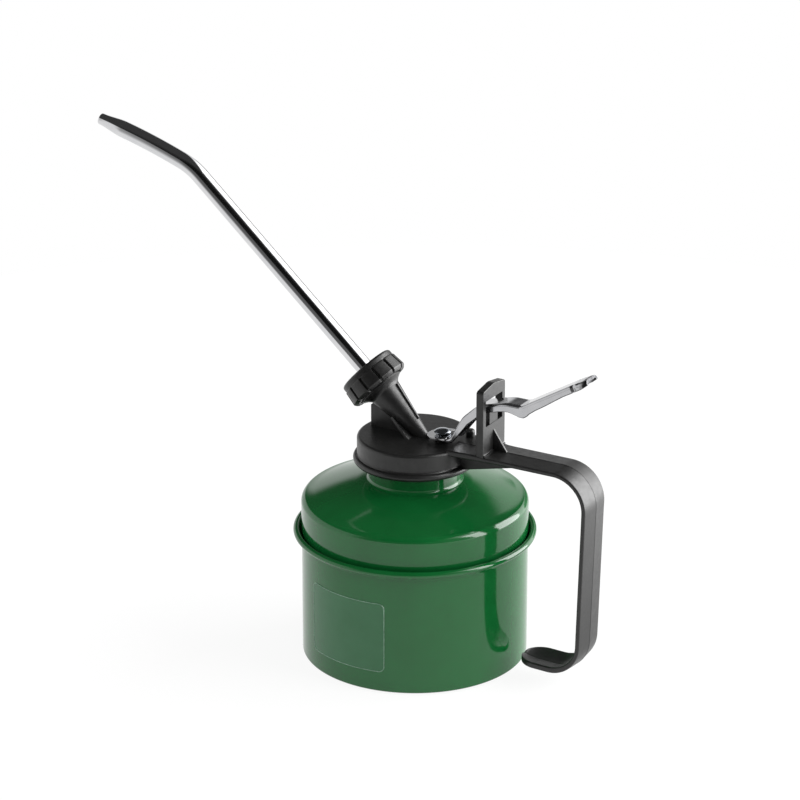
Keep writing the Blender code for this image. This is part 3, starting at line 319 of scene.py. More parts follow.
# Studio, in metres. For gloss it has white walls, with the sines of their heights, and each pair of
# numbers is where a change starts and ends, as the sine of the angle towards that side. The dark panel's
# way is given as its parts to the right, to the front and up.
STUDIO_RIGHT = (0.866, 0.5, 0.0)
STUDIO_FRONT = (0.5, -0.866, 0.0)
STUDIO_UP = (0.0, 0.0, 1.0)
WALL_TOP_BACK = 0.3
WALL_TOP_RIGHT = 0.92
WALL_TOP_LEFT = 0.5
WALL_SOFT = 0.07
RISE_TO_RIGHT = (0.13, 0.56)
FALL_FROM_LEFT = (-0.95, -0.35)
CEILING_LEVEL = 0.05
ROOM_LEVEL = 0.14
ROOM_EDGE = (0.3, 0.7)
RIGHT_GAIN = 2.6
RIGHT_GAIN_EDGE = (0.3, 0.65)
DARK_PANEL_WAY = (0.451, -0.892, 0.02)
DARK_PANEL_EDGE = (0.957, 0.97)
DARK_PANEL_LEVEL = 0.15
SOFT_LEVEL = 0.46
LIGHT_TARGET = (0.0, 0.0, 0.08)
KEY_PLACE = (1.05, 0.62, 0.5)
KEY_SIZE = (1.7, 1.4)
KEY_POWER = 50.0
FILL_PLACE = (-0.8, -1.1, 0.95)
FILL_SIZE = (1.1, 1.1)
FILL_POWER = 11.0
FLOOR_R = 0.55
FLOOR_DROP = 0.0004
FLOOR_GLOW = 0.88
FLOOR_GAIN = 2.0
FLOOR_GAIN_EDGE = (0.12, 0.34)
FLOOR_MATT = 0.12
FLOOR_PLAIN = 0.8

# Camera, 30 degrees round from the front and 21.45 degrees up, in metres; its lens in millimetres
CAMERA_PLACE = (0.71885, -1.25828, 0.68702)
CAMERA_TARGET = (-0.025738, 0.031379, 0.101917)
CAMERA_LENS = 160.88
CAMERA_SENSOR = 36.0
CAMERA_REACH = 30.0

# Places worked out from the sizes above
SPOUT_TILT = math.radians(SPOUT_ANGLE)
SPOUT_DIR = Vector((-math.cos(SPOUT_TILT), 0.0, math.sin(SPOUT_TILT)))
SPOUT_FOOT = Vector((SPOUT_FOOT_X, 0.0, CAP_TOP_Z))
SPOUT_AXIS = Matrix.Translation(SPOUT_FOOT * MM) @ Matrix.Rotation(SPOUT_TILT - math.pi / 2, 4, "Y")
PUMP_AXIS = Matrix.Translation((PUMP_X * MM, 0.0, 0.0))
BOSS_AXIS = Matrix.Translation((BOSS_X * MM, BOSS_Y * MM, 0.0))
UPRIGHT = Matrix.Identity(4)


# Small helpers for profiles and paths

def arc(centre, radius, start, end, steps=ARC_STEPS):
    """Points on an arc in a profile, with angles in degrees from the first axis."""
    points = []
    for i in range(steps + 1):
        angle = math.radians(start + (end - start) * i / steps)
        points.append((centre[0] + radius * math.cos(angle), centre[1] + radius * math.sin(angle)))
    return points


def rounded_box(a_low, a_high, b_low, b_high, r, steps):
    """Outline of a rectangle with round corners."""
    corners = ((a_high - r, b_high - r, 0), (a_low + r, b_high - r, 90),
               (a_low + r, b_low + r, 180), (a_high - r, b_low + r, 270))
    return [point for a, b, start in corners for point in arc((a, b), r, start, start + 90, steps)]


def stepped(top, *steps):
    """Profile of a stepped round bar from its top down, each step as its radius and its lower end."""
    profile = [(0.0, top)]
    for radius, low in steps:
        profile += [(radius, top), (radius, low)]
        top = low
    return profile + [(0.0, top)]


def polar(radius, angle, height):
    """Point at a distance and an angle about the Z axis."""
    return radius * math.cos(angle), radius * math.sin(angle), height


def between(x, table):
    """Straight-line reading of a small table of (place, value)."""
    if x <= table[0][0]:
        return table[0][1]
    for (x0, v0), (x1, v1) in zip(table, table[1:]):
        if x <= x1:
            return v0 + (v1 - v0) * (x - x0) / (x1 - x0)
    return table[-1][1]


def ease(x, start, end):
    """Smooth step from 0 at start to 1 at end."""
    t = min(max((x - start) / (end - start), 0.0), 1.0)
    return t * t * (3.0 - 2.0 * t)


def helix(radius, pitch, turns, z_start, per_turn, start_angle=0.0):
    """Points of a right-hand helix about the local Z axis."""
    points = []
    for i in range(round(turns * per_turn) + 1):
        angle = start_angle + 2 * math.pi * i / per_turn
        points.append(Vector(polar(radius, angle, z_start + pitch * i / per_turn)))
    return points


def rounded_path(corners, bend_steps):
    """Points (x, z) along straight runs whose inner corners (x, z, radius) are rounded."""
    points = [Vector(corners[0][:2])]
    for before, here, after in zip(corners, corners[1:], corners[2:]):
        corner = Vector(here[:2])
        way_in = (corner - Vector(before[:2])).normalized()
        way_out = (Vector(after[:2]) - corner).normalized()
        turn = way_in.angle_signed(way_out)
        start = corner - way_in * here[2] * math.tan(abs(turn) / 2)
        side = Vector((-way_in.y, way_in.x)) * (-1 if turn > 0 else 1)
        centre = start + side * here[2]
        for i in range(bend_steps + 1):
            points.append(centre + Matrix.Rotation(-turn * i / bend_steps, 2) @ (start - centre))
    points.append(Vector(corners[-1][:2]))
    return points


def resampled(points, step):
    """The same path with points added so that no run is longer than a step."""
    path = [points[0]]
    for a, b in zip(points, points[1:]):
        count = max(1, math.ceil((b - a).length / step))
        path += [a.lerp(b, k / count) for k in range(1, count + 1)]
    return path


def headings(points):
    """Unit direction at each point of a path, the mean of its two neighbours' runs."""
    found = []
    for i in range(len(points)):
        before = points[max(i - 1, 0)]
        after = points[min(i + 1, len(points) - 1)]
        found.append((after - before).normalized())
    return found


def lengths(points):
    """Distance along a path up to each point."""
    total = [0.0]
    for a, b in zip(points, points[1:]):
        total.append(total[-1] + (b - a).length)
    return total


def set_square(point, way, section):
    """A section, as (across, off the path), set square to a path in the plane y = 0."""
    out = Vector((-way.y, way.x))
    return [(point.x + out.x * n, y, point.y + out.y * n) for y, n in section]


def on_spout(s, r=0.0):
    """World point (x, z) at a distance along the spout's axis and off it, up and outward."""
    x = SPOUT_FOOT.x + s * SPOUT_DIR.x + r * math.sin(SPOUT_TILT)
    z = SPOUT_FOOT.z + s * SPOUT_DIR.z + r * math.cos(SPOUT_TILT)
    return x, z


# Small helpers for meshes

def made(name, shape, material, matrix=UPRIGHT):
    """Turn a bmesh in millimetres into a smooth object whose place is in its mesh."""
    bmesh.ops.recalc_face_normals(shape, faces=shape.faces)
    mesh = bpy.data.meshes.new(name)
    shape.to_mesh(mesh)
    shape.free()
    mesh.transform(matrix @ Matrix.Scale(MM, 4))
    mesh.materials.append(material)
    obj = bpy.data.objects.new(name, mesh)
    bpy.context.scene.collection.objects.link(obj)
    smooth(obj)
    return obj


def smooth(obj):
    """Smooth shading with sharp edges kept, and flat faces kept flat beside small roundings."""
    obj.data.shade_smooth()
    obj.data.set_sharp_from_angle(angle=math.radians(SMOOTH_ANGLE))
    weight = obj.modifiers.new("face_weight", "WEIGHTED_NORMAL")
    weight.keep_sharp = True


def skin(rows, looped=False):
    """A closed skin through rows of points; a row of one point is a pole."""
    shape = bmesh.new()
    grid = [[shape.verts.new(Vector(p)) for p in row] for row in rows]
    pairs = list(zip(grid, grid[1:]))
    if looped:
        pairs.append((grid[-1], grid[0]))
    for low, high in pairs:
        count = max(len(low), len(high))
        for i in range(count):
            j = (i + 1) % count
            ring = [low[i % len(low)], low[j % len(low)], high[j % len(high)], high[i % len(high)]]
            corners = list(dict.fromkeys(ring))
            if len(corners) > 2:
                shape.faces.new(corners)
    if not looped:
        for end in (grid[0], grid[-1]):
            if len(end) > 2:
                shape.faces.new(end)
    return shape


def surface(name, rows, material, matrix=UPRIGHT, looped=False):
    """A smooth object with a closed skin through rows of points."""
    return made(name, skin(rows, looped), material, matrix)


def circle(sides):
    """Angles of even steps round a circle."""
    return [2 * math.pi * i / sides for i in range(sides)]


def turned(name, profile, sides, material, matrix=UPRIGHT, looped=False):
    """A turned piece from (radius, height) points; a radius of 0 is a pole."""
    rows = []
    for r, z in profile:
        if r < 1e-6:
            rows.append([(0.0, 0.0, z)])
        else:
            rows.append([polar(r, a, z) for a in circle(sides)])
    return surface(name, rows, material, matrix, looped)


def plate(name, outline, low, high, plane, edge_r, material, matrix=UPRIGHT, sharp=25.0):
    """A flat outline in a plane such as "xz", made thick along the third axis, its sharp edges rounded."""
    order = {"xz": (0, 2, 1), "yz": (2, 0, 1), "xy": (0, 1, 2)}[plane]
    shape = skin([[[(a, b, depth)[k] for k in order] for a, b in outline] for depth in (low, high)])
    if edge_r:
        bmesh.ops.recalc_face_normals(shape, faces=shape.faces)
        corners = [e for e in shape.edges if e.calc_face_angle(0.0) > math.radians(sharp)]
        bmesh.ops.bevel(shape, geom=corners, offset=edge_r, segments=3, profile=0.5, affect="EDGES",
                        clamp_overlap=True)
    return made(name, shape, material, matrix)


def wire(name, points, radii, sides, material, matrix=UPRIGHT):
    """A round bar along 3-D points with its own radius at each point."""
    rows = []
    ways = headings(points)
    side = ways[0].orthogonal().normalized()
    for point, way, radius in zip(points, ways, radii):
        side = (side - way * side.dot(way)).normalized()
        other = way.cross(side)
        rows.append([point + (side * math.cos(a) + other * math.sin(a)) * radius for a in circle(sides)])
    return surface(name, rows, material, matrix)


def ridge(name, points, radius, material, matrix=UPRIGHT):
    """A thread's ridge that runs out to nothing at both ends."""
    last = len(points) - 1
    radii = []
    for i in range(last + 1):
        run_out = min(i, last - i) / (last * 0.12)
        radii.append(radius * max(min(run_out, 1.0), 0.05) ** 0.5)
    return wire(name, points, radii, 10, material, matrix)


def combine(base, steps):
    """Apply a chain of Boolean steps to a solid and keep one clean mesh."""
    base.modifiers.clear()
    for operation, tool in steps:
        tool.modifiers.clear()
        modifier = base.modifiers.new(tool.name, "BOOLEAN")
        modifier.operation = operation
        modifier.solver = "EXACT"
        modifier.object = tool
    view = bpy.context.evaluated_depsgraph_get()
    mesh = bpy.data.meshes.new_from_object(base.evaluated_get(view))
    base.modifiers.clear()
    old = base.data
    base.data = mesh
    bpy.data.meshes.remove(old)
    mesh.name = base.name
    for _, tool in steps:
        data = tool.data
        bpy.data.objects.remove(tool, do_unlink=True)
        bpy.data.meshes.remove(data)
    shape = bmesh.new()
    shape.from_mesh(mesh)
    bmesh.ops.remove_doubles(shape, verts=shape.verts, dist=MERGE)
    bmesh.ops.dissolve_degenerate(shape, edges=shape.edges, dist=MERGE)
    shape.to_mesh(mesh)
    shape.free()
    smooth(base)
    return base


# Materials

def new_material(name, dark, light, gloss, metallic=0.0):
    """A principled material with the middles of its colours and of its roughness on its own sockets."""
    material = bpy.data.materials.new(name)
    material.use_nodes = True
    shader = material.node_tree.nodes["Principled BSDF"]
    shader.inputs["Base Color"].default_value = (*[(a + b) / 2 for a, b in zip(dark, light)], 1.0)
    shader.inputs["Roughness"].default_value = sum(gloss) / 2
    shader.inputs["Metallic"].default_value = metallic
    return material, material.node_tree, shader


def place_texture(tree, scale=(1.0, 1.0, 1.0), turn=(0.0, 0.0, 0.0)):
    """Object coordinates, turned and stretched for a grain that runs one way."""
    coords = tree.nodes.new("ShaderNodeTexCoord")
    mapping = tree.nodes.new("ShaderNodeMapping")
    mapping.vector_type = "TEXTURE"
    mapping.inputs["Rotation"].default_value = turn
    mapping.inputs["Scale"].default_value = scale
    tree.links.new(coords.outputs["Object"], mapping.inputs["Vector"])
    return mapping.outputs["Vector"]


def noise(tree, vector, scale, detail=2.0, rough=0.5):
    """A noise pattern's value at a scale in cycles per metre."""
    node = tree.nodes.new("ShaderNodeTexNoise")
    node.inputs["Scale"].default_value = scale
    node.inputs["Detail"].default_value = detail
    node.inputs["Roughness"].default_value = rough
    tree.links.new(vector, node.inputs["Vector"])
    return node.outputs["Fac"]


def spread(tree, value, low, high, source=(0.3, 0.7)):
    """Map a pattern's value to a range."""
    node = tree.nodes.new("ShaderNodeMapRange")
    node.inputs["From Min"].default_value = source[0]
    node.inputs["From Max"].default_value = source[1]
    node.inputs["To Min"].default_value = low
    node.inputs["To Max"].default_value = high
    tree.links.new(value, node.inputs["Value"])
    return node.outputs["Result"]


def tint(tree, value, dark, light):
    """Blend two colours by a value from 0 to 1; a colour is a socket or three numbers."""
    node = tree.nodes.new("ShaderNodeMix")
    node.data_type = "RGBA"
    for name, color in (("A", dark), ("B", light)):
        if isinstance(color, tuple):
            node.inputs[name].default_value = (*color, 1.0)
        else:
            tree.links.new(color, node.inputs[name])
    tree.links.new(value, node.inputs["Factor"])
    return node.outputs["Result"]


def shaded(tree, pattern, dark, light):
    """Blend two colours by a pattern."""
    return tint(tree, spread(tree, pattern, 0.0, 1.0), dark, light)


def bump(tree, shader, value, strength, depth_mm):
    """Fine relief on the shader's normal."""
    node = tree.nodes.new("ShaderNodeBump")
    node.inputs["Strength"].default_value = strength
    node.inputs["Distance"].default_value = depth_mm * MM
    tree.links.new(value, node.inputs["Height"])
    tree.links.new(node.outputs["Normal"], shader.inputs["Normal"])


def node_math(tree, operation, first, second):
    """One sum, product or limit of two values; a value is a socket or a number."""
    node = tree.nodes.new("ShaderNodeMath")
    node.operation = operation
    for socket, value in zip(node.inputs, (first, second)):
        if isinstance(value, (int, float)):
            socket.default_value = value
        else:
            tree.links.new(value, socket)
    return node.outputs["Value"]


def facing(tree, direction, way):
    """How far a direction points along a fixed way, from -1 to 1."""
    node = tree.nodes.new("ShaderNodeVectorMath")
    node.operation = "DOT_PRODUCT"
    node.inputs[1].default_value = way
    tree.links.new(direction, node.inputs[0])
    return node.outputs["Value"]


def sweep(tree, value, source, low, high):
    """Smooth change from low to high as a value crosses a range."""
    result = spread(tree, value, low, high, source)
    result.node.interpolation_type = "SMOOTHSTEP"
    return result


def patterned(name, dark, light, shade, gloss, shine, grain, relief, metallic=0.0, lines=()):
    """A material whose colour, roughness and relief each follow a noise of their own.

    shade, shine and grain are those three noises, as scale, detail and roughness. gloss is the range of the
    material's roughness, and relief is the strength of its bumps with their depth in millimetres. lines is
    the stretch of shine and grain, and their turn.
    """
    material, tree, shader = new_material(name, dark, light, gloss, metallic)
    plain = place_texture(tree)
    lined = place_texture(tree, *lines)
    tree.links.new(shaded(tree, noise(tree, plain, *shade), dark, light), shader.inputs["Base Color"])
    tree.links.new(spread(tree, noise(tree, lined, *shine), *gloss), shader.inputs["Roughness"])
    bump(tree, shader, noise(tree, lined, *grain), *relief)
    return material


def enamel():
    """Deep green gloss stoving enamel with a faint orange peel."""
    return patterned("green_enamel_gloss", dark=(0.0036, 0.082, 0.0172), light=(0.0044, 0.094, 0.0205),
                     shade=(60.0,), gloss=(0.07, 0.13), shine=(150.0, 4.0), grain=(700.0, 1.0),
                     relief=(0.35, 0.012))


def film():
    """Blank clear film on the enamel, a little greyer than the paint."""
    return patterned("clear_film", dark=(0.015, 0.098, 0.034), light=(0.021, 0.109, 0.042),
                     shade=(90.0,), gloss=(0.16, 0.24), shine=(250.0,),
                     grain=(400.0, 1.0), relief=(0.3, 0.01))


def painted_edge_highlight():
    """Cut edge of the clear film, painted paler than its face: a painted highlight for the light the edge
    catches.
    """
    return patterned("film_edge_painted_highlight", dark=(0.08, 0.18, 0.11), light=(0.17, 0.29, 0.21),
                     shade=(300.0, 3.0), gloss=(0.2, 0.32), shine=(500.0,), grain=(900.0, 1.0),
                     relief=(0.3, 0.01))


def nylon():
    """Black moulded nylon with a fine satin grain."""
    return patterned("black_nylon_satin", dark=(0.007, 0.007, 0.0068), light=(0.0105, 0.0105, 0.0102),
                     shade=(120.0, 3.0), gloss=(0.32, 0.44), shine=(450.0, 4.0), grain=(2600.0, 3.0, 0.6),
                     relief=(0.35, 0.03))


def chrome():
    """Bright chromed steel with a trace of draw lines."""
    return patterned("chrome_bright", dark=(0.61, 0.615, 0.63), light=(0.67, 0.67, 0.68),
                     shade=(80.0,), gloss=(0.06, 0.13), shine=(900.0, 3.0), grain=(900.0, 3.0),
                     relief=(0.2, 0.008), metallic=1.0, lines=((6.0, 1.0, 1.0), (0.0, SPOUT_TILT, 0.0)))


def pressed_plate():
    """Bright plated sheet steel with faint press marks. The thumb pad's dark mottled colour is a painted
    reflection, with painted shade at the very tip, and the pad is rougher.
    """
    dark, light, gloss = (0.42, 0.425, 0.44), (0.5, 0.5, 0.51), (0.12, 0.2)
    # Dark and light of the thumb pad's painted reflection, and the pad's extra roughness
    painted_reflection_dark, painted_reflection_light, pad_extra_roughness = (0.03, 0.03, 0.033), (0.3, 0.3, 0.305), 0.24
    material, tree, shader = new_material("plated_sheet", dark, light, gloss, 1.0)
    vector = place_texture(tree)
    apart = tree.nodes.new("ShaderNodeSeparateXYZ")
    tree.links.new(vector, apart.inputs["Vector"])
    on_pad = spread(tree, apart.outputs["X"], 0.0, 1.0, [x * MM for x in PAD_PAINTED_REFLECTION_XS])
    # Painted shade pulls the very tip towards the dark colour; a noise mottles the pad's painted reflection
    off_tip = spread(tree, apart.outputs["X"], 1.0, 0.15, [x * MM for x in TIP_PAINTED_SHADE_XS])
    reflection_mottle = spread(tree, noise(tree, vector, 700.0, 3.0), 0.0, 1.0, (0.4, 0.6))
    painted_reflection = tint(tree, node_math(tree, "MULTIPLY", reflection_mottle, off_tip), painted_reflection_dark, painted_reflection_light)
    plain = shaded(tree, noise(tree, vector, 110.0), dark, light)
    tree.links.new(tint(tree, on_pad, plain, painted_reflection), shader.inputs["Base Color"])
    marks = noise(tree, vector, 260.0, 4.0)
    duller = node_math(tree, "MULTIPLY", on_pad, pad_extra_roughness)
    rough = node_math(tree, "ADD", spread(tree, marks, *gloss), duller)
    tree.links.new(rough, shader.inputs["Roughness"])
    bump(tree, shader, marks, 0.3, 0.012)
    return material


def turned_metal(name, color, roughness):
    """Plain metal with fine rings from turning."""
    return patterned(name, dark=tuple(c * 0.9 for c in color), light=color,
                     shade=(150.0,), gloss=(roughness * 0.75, roughness * 1.3), shine=(2500.0, 3.0),
                     grain=(2500.0, 3.0), relief=(0.3, 0.01), metallic=1.0, lines=((30.0, 30.0, 1.0),))


def rubber():
    """Oil-proof rubber, matt with a fine grain."""
    return patterned("rubber_matt", dark=(0.015, 0.015, 0.015), light=(0.027, 0.027, 0.026),
                     shade=(300.0, 3.0), gloss=(0.55, 0.75), shine=(600.0,), grain=(3000.0, 2.0),
                     relief=(0.4, 0.03))


ENAMEL = enamel()
FILM = film()
FILM_EDGE_HIGHLIGHT_PAINT = painted_edge_highlight()
NYLON = nylon()
CHROME = chrome()
PLATED = pressed_plate()
RIVETED = turned_metal("rod_steel", (0.3, 0.32, 0.35), 0.18)
STEEL = turned_metal("steel_turned", (0.56, 0.56, 0.57), 0.24)
BRASS = turned_metal("brass_turned", (0.72, 0.52, 0.22), 0.26)
RUBBER = rubber()
FINISHES = {"green_enamel": ENAMEL, "black_nylon": NYLON, "chrome": CHROME, "steel": STEEL,
            "brass": BRASS, "rubber": RUBBER}


def carried(piece, body, slot, *nodes):
    """Tell the frame what a fine piece rides on and hide the solids it stands for; its finish slot is not
    used.
    """
    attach(piece, body)
    if nodes:
        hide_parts(*nodes)
    return piece


# The can

def cup_shell():
    """Can with pressed base rings, rounded base corner, drawn wall, flare and rolled bead."""
    inner_r = CAN_R - SHEET
    base = [(0.0, 0.0)]
    for ring_r in BASE_RING_RS:
        for k in range(9):
            swell = math.sin(math.pi * k / 8) ** 2
            base.append((ring_r - BASE_RING_W / 2 + BASE_RING_W * k / 8, BASE_RING_DEPTH * swell))
    base += arc((CAN_R - BASE_CORNER_R, BASE_CORNER_R), BASE_CORNER_R, -90, 0)
    wall = [(CAN_R, WALL_STEP * k) for k in range(1, 9)]
    flare = []
    for k in range(7):
        flare.append((CAN_R + CUP_FLARE_OUT * ease(k / 6, 0.0, 1.0), CUP_FLARE_Z + CUP_FLARE_RUN * k / 6))
    bead = arc((CAN_R + BEAD_OUT, BEAD_Z), BEAD_R, -130, 180, 28)
    inside = [(inner_r, CUP_FLARE_Z + 0.3), (inner_r, SHEET + BASE_CORNER_R)]
    inside += [(inner_r - BASE_CORNER_R, SHEET), (0.0, SHEET)]
    return turned("cup_shell", base + wall + flare + bead + inside, SIDES_CAN, ENAMEL)


def dome_shell():
    """Dome with skirt, shoulder, low crowned cone and threaded neck."""
    wall_r = CAN_R + DOME_OUT
    skirt_r = CAN_R - SHEET - CLEARANCE
    cone_start = (wall_r - SHOULDER_R * 1.06, SHOULDER_Z + SHOULDER_R * 0.98)
    waist_r = NECK_R - NECK_UNDERCUT
    outer = [(NECK_R - 0.4, NECK_TOP_Z), (NECK_R, NECK_TOP_Z - 0.4), (NECK_R, CAP_FOOT_Z + 0.6)]
    outer += arc((waist_r + NECK_FILLET_R, CONE_TOP_Z + NECK_FILLET_R), NECK_FILLET_R, 175, 250, 7)
    for k in range(11):
        t = k / 10
        rise = CONE_CROWN * 4 * t * (1 - t)
        outer.append((CONE_TOP_R + (cone_start[0] - CONE_TOP_R) * t,
                      CONE_TOP_Z + (cone_start[1] - CONE_TOP_Z) * t + rise))
    outer += arc((wall_r - SHOULDER_R, SHOULDER_Z), SHOULDER_R, 66, 0, 12)
    outer += [(wall_r, BEAD_Z + 6.0), (wall_r, BEAD_Z + 0.4), (skirt_r, BEAD_Z - SKIRT_STEP)]
    outer += [(skirt_r, BEAD_Z - DOME_SKIRT)]
    inner_r = wall_r - SHEET
    inner = [(skirt_r - SHEET, BEAD_Z - DOME_SKIRT), (skirt_r - SHEET, BEAD_Z - SKIRT_STEP + 0.2)]
    inner += [(inner_r, BEAD_Z + 0.6), (inner_r, SHOULDER_Z), (inner_r - 2.4, SHOULDER_Z + 2.3)]
    inner += [(CONE_TOP_R, CONE_TOP_Z - SHEET), (NECK_R - SHEET, CONE_TOP_Z)]
    inner += [(NECK_R - SHEET, NECK_TOP_Z - 0.4), (NECK_R - SHEET + 0.2, NECK_TOP_Z)]
    dome = turned("dome_shell", outer + inner, SIDES_CAN, ENAMEL, looped=True)
    points = helix(NECK_R, CAP_PITCH, NECK_THREAD_TURNS, NECK_THREAD_Z, 64)
    thread = ridge("neck_thread", points, THREAD_R, ENAMEL)
    return combine(dome, [("UNION", thread)])


def label_film():
    """Blank clear film with round corners, laid on the can's wall."""
    first, last = FILM_ANGLES
    columns = 48
    height = FILM_Z[1] - FILM_Z[0]
    heights = [height * k / 24 for k in range(25)]
    heights += [FILM_CORNER_R * (1 - math.cos(math.radians(a))) for a in range(10, 90, 10)]
    heights += [height - h for h in heights[25:]]
    rows = []
    for h in sorted(heights):
        edge = min(h, height - h)
        inset = 0.0
        if edge < FILM_CORNER_R:
            inset = FILM_CORNER_R - math.sqrt(FILM_CORNER_R ** 2 - (FILM_CORNER_R - edge) ** 2)
        cut = math.degrees(inset / CAN_R)
        row = []
        for radius, order in ((CAN_R + FILM_T, range(columns + 1)), (CAN_R + 0.01, range(columns, -1, -1))):
            for i in order:
                angle = math.radians(first + cut + (last - first - 2 * cut) * i / columns)
                row.append(polar(radius, angle, FILM_Z[0] + h))
        rows.append(row)
    return surface("label_film", rows, FILM)


def film_edge():
    """Clear edge of the film, a thin round bead that catches the light, its pale colour a painted highlight.
    """
    first, last = [math.radians(a) * CAN_R for a in FILM_ANGLES]
    plan = rounded_box(first, last, *FILM_Z, FILM_CORNER_R, 8)
    plan = resampled([Vector(p) for p in plan + plan[:1]], 2.0)
    points = [Vector(polar(CAN_R + FILM_EDGE_R * 0.5, s / CAN_R, z)) for s, z in plan]
    return wire("film_edge", points, [FILM_EDGE_R] * len(points), 8, FILM_EDGE_HIGHLIGHT_PAINT)


# The head moulding

def cap_solid():
    """Cap with a rounded top edge, a smooth wall and a bead round its foot."""
    under_z = CAP_TOP_Z - CAP_PLATE
    bead_z = CAP_FOOT_Z + CAP_BEAD_R + 0.1
    profile = [(0.0, CAP_TOP_Z)]
    profile += arc((CAP_R - CAP_EDGE_R, CAP_TOP_Z - CAP_EDGE_R), CAP_EDGE_R, 90, 0)
    groove_z = bead_z + CAP_GROOVE_RISE
    profile += [(CAP_R, groove_z + 0.25)]
    profile += arc((CAP_R + CAP_GROOVE_R - CAP_GROOVE_DEPTH, groove_z), CAP_GROOVE_R, 180, 222, 4)
    profile += arc((CAP_R, bead_z), CAP_BEAD_R, 62, -90, 16)
    profile += [(CAP_BORE_R + 0.5, CAP_FOOT_Z), (CAP_BORE_R, CAP_FOOT_Z + 0.7)]
    profile += [(CAP_BORE_R, under_z - 0.4), (CAP_BORE_R - 0.4, under_z), (0.0, under_z)]
    return turned("head_shell", profile, SIDES_CAP, NYLON)


def socket_solid():
    """Funnel-shaped socket with its flared head."""
    profile = [(0.0, SOCKET_FACE_S), (SOCKET_THREAD_ROOT_R - 0.5, SOCKET_FACE_S)]
    profile += [(SOCKET_THREAD_ROOT_R, SOCKET_FACE_S - 0.5), (SOCKET_THREAD_ROOT_R, SOCKET_THREAD_S)]
    for k in range(11):
        t = k / 10
        radius = SOCKET_TOP_R + (SOCKET_THREAD_ROOT_R - 0.4 - SOCKET_TOP_R) * (1 - t) ** 2.2
        profile.append((radius, SOCKET_THREAD_S - 0.3 + (SOCKET_FLARE_S + 0.3 - SOCKET_THREAD_S) * t))
    profile += [(SOCKET_FOOT_R, 0.0), (SOCKET_FOOT_R - 0.3, -2.0), (0.0, -2.0)]
    return turned("socket_solid", profile, SIDES_SMALL, NYLON, SPOUT_AXIS)


def fin_solids():
    """Thin rib above, web below and a gusset on each side of the socket."""
    slope = (SOCKET_TOP_R - SOCKET_FOOT_R) / SOCKET_FLARE_S
    crest_r = SOCKET_FOOT_R + RIB_CREST_S * slope + RIB_HEIGHT
    top = [on_spout(RIB_START_S), on_spout(RIB_CREST_S, crest_r)]
    top += [on_spout(SOCKET_FLARE_S, SOCKET_TOP_R + 1.0), on_spout(SOCKET_FLARE_S + 1.5)]
    rib = plate("rib_above", top, -RIB_T / 2, RIB_T / 2, "xz", 0.25, NYLON)
    flare = on_spout(SOCKET_FLARE_S + 1.2, -SOCKET_TOP_R - 0.7)
    foot_z = CAP_TOP_Z - OVERLAP
    web = [(WEB_EDGE_X, foot_z), (WEB_INNER_X, foot_z), on_spout(SOCKET_FLARE_S + 1.0), flare]
    web += [(WEB_EDGE_X, WEB_EDGE_TOP_Z)]
    below = plate("web_below", web, -FIN_T / 2, FIN_T / 2, "xz", 0.25, NYLON)
    low, high = GUSSET_FOOT_HALF_W, GUSSET_TOP_HALF_W
    outline = [(-low, 0.0), (low, 0.0), (high, GUSSET_TOP_S), (-high, GUSSET_TOP_S)]
    top_r = GUSSET_LOW_R + GUSSET_T
    gussets = plate("side_gussets", outline, GUSSET_LOW_R, top_r, "yz", 0.2, NYLON, SPOUT_AXIS)
    return [rib, below, gussets]


def post_outline():
    """Upright's outline (y, z) with round shoulders and a low roof-like top."""
    half = POST_HALF_W
    corner_z = POST_SHOULDER_Z - POST_CORNER_R
    reach = half - POST_CORNER_R
    slope = math.degrees(math.atan2(POST_TOP_Z - POST_SHOULDER_Z, reach))
    foot_z = STRAP_TOP_Z - STRAP_T / 2
    outline = [(-half, foot_z), (half, foot_z)]
    outline += arc((reach, corner_z), POST_CORNER_R, 0, 90 - slope, 8)
    outline += arc((0.0, POST_TOP_Z - POST_CREST_R), POST_CREST_R, 90 - slope, 90 + slope, 6)
    outline += arc((-reach, corner_z), POST_CORNER_R, 90 + slope, 180, 8)
    return outline


def post_solids():
    """Upright, its triangular rib and the small fillets at its foot."""
    face = POST_X + POST_T
    foot_z = STRAP_TOP_Z - STRAP_T / 2
    end_x = face + POST_RIB_REACH
    outline = [(face - OVERLAP, foot_z), (end_x, foot_z), (end_x, STRAP_TOP_Z), (face, POST_RIB_TOP_Z)]
    outline += [(face - OVERLAP, POST_RIB_TOP_Z)]
    solids = [plate("lever_post", post_outline(), POST_X, face, "yz", 0.35, NYLON),
              plate("post_rib", outline, -POST_RIB_T / 2, POST_RIB_T / 2, "xz", 0.3, NYLON)]
    for name, x, side, start in (("fillet_back", face, 1, 270), ("fillet_front", POST_X, -1, -90)):
        end_x = x + side * FILLET_R
        end_z = STRAP_TOP_Z + FILLET_R
        section = arc((end_x, end_z), FILLET_R, start, start - 90 * side, 6)
        section += [(x - side * 0.5, end_z), (x - side * 0.5, STRAP_TOP_Z - 0.5), (end_x, STRAP_TOP_Z - 0.5)]
        solids.append(plate(name, section, -FILLET_HALF_W, FILLET_HALF_W, "xz", 0.0, NYLON))
    return solids


def window_cutter():
    """Cutter of the upright's window, with round corners."""
    outline = rounded_box(-SLOT_HALF_W, SLOT_HALF_W, NOTCH_BOTTOM_Z, SLOT_TOP_Z, WINDOW_CORNER_R, 4)
    return plate("post_window", outline, POST_X - OVERLAP, POST_X + POST_T + OVERLAP, "yz", 0.0, STEEL)


def tongue_solid():
    """Tongue between the notches; its ramped top is the lever's fulcrum."""
    face = POST_X + POST_T - TONGUE_RECESS
    outline = [(POST_X, NOTCH_BOTTOM_Z - OVERLAP), (face, NOTCH_BOTTOM_Z - OVERLAP), (face, FULCRUM_Z)]
    outline += [(POST_X + FULCRUM_RAMP, FULCRUM_Z), (POST_X, FULCRUM_Z - 0.5)]
    return plate("fulcrum_tongue", outline, -NOTCH_HALF_W, NOTCH_HALF_W, "xz", 0.2, NYLON)


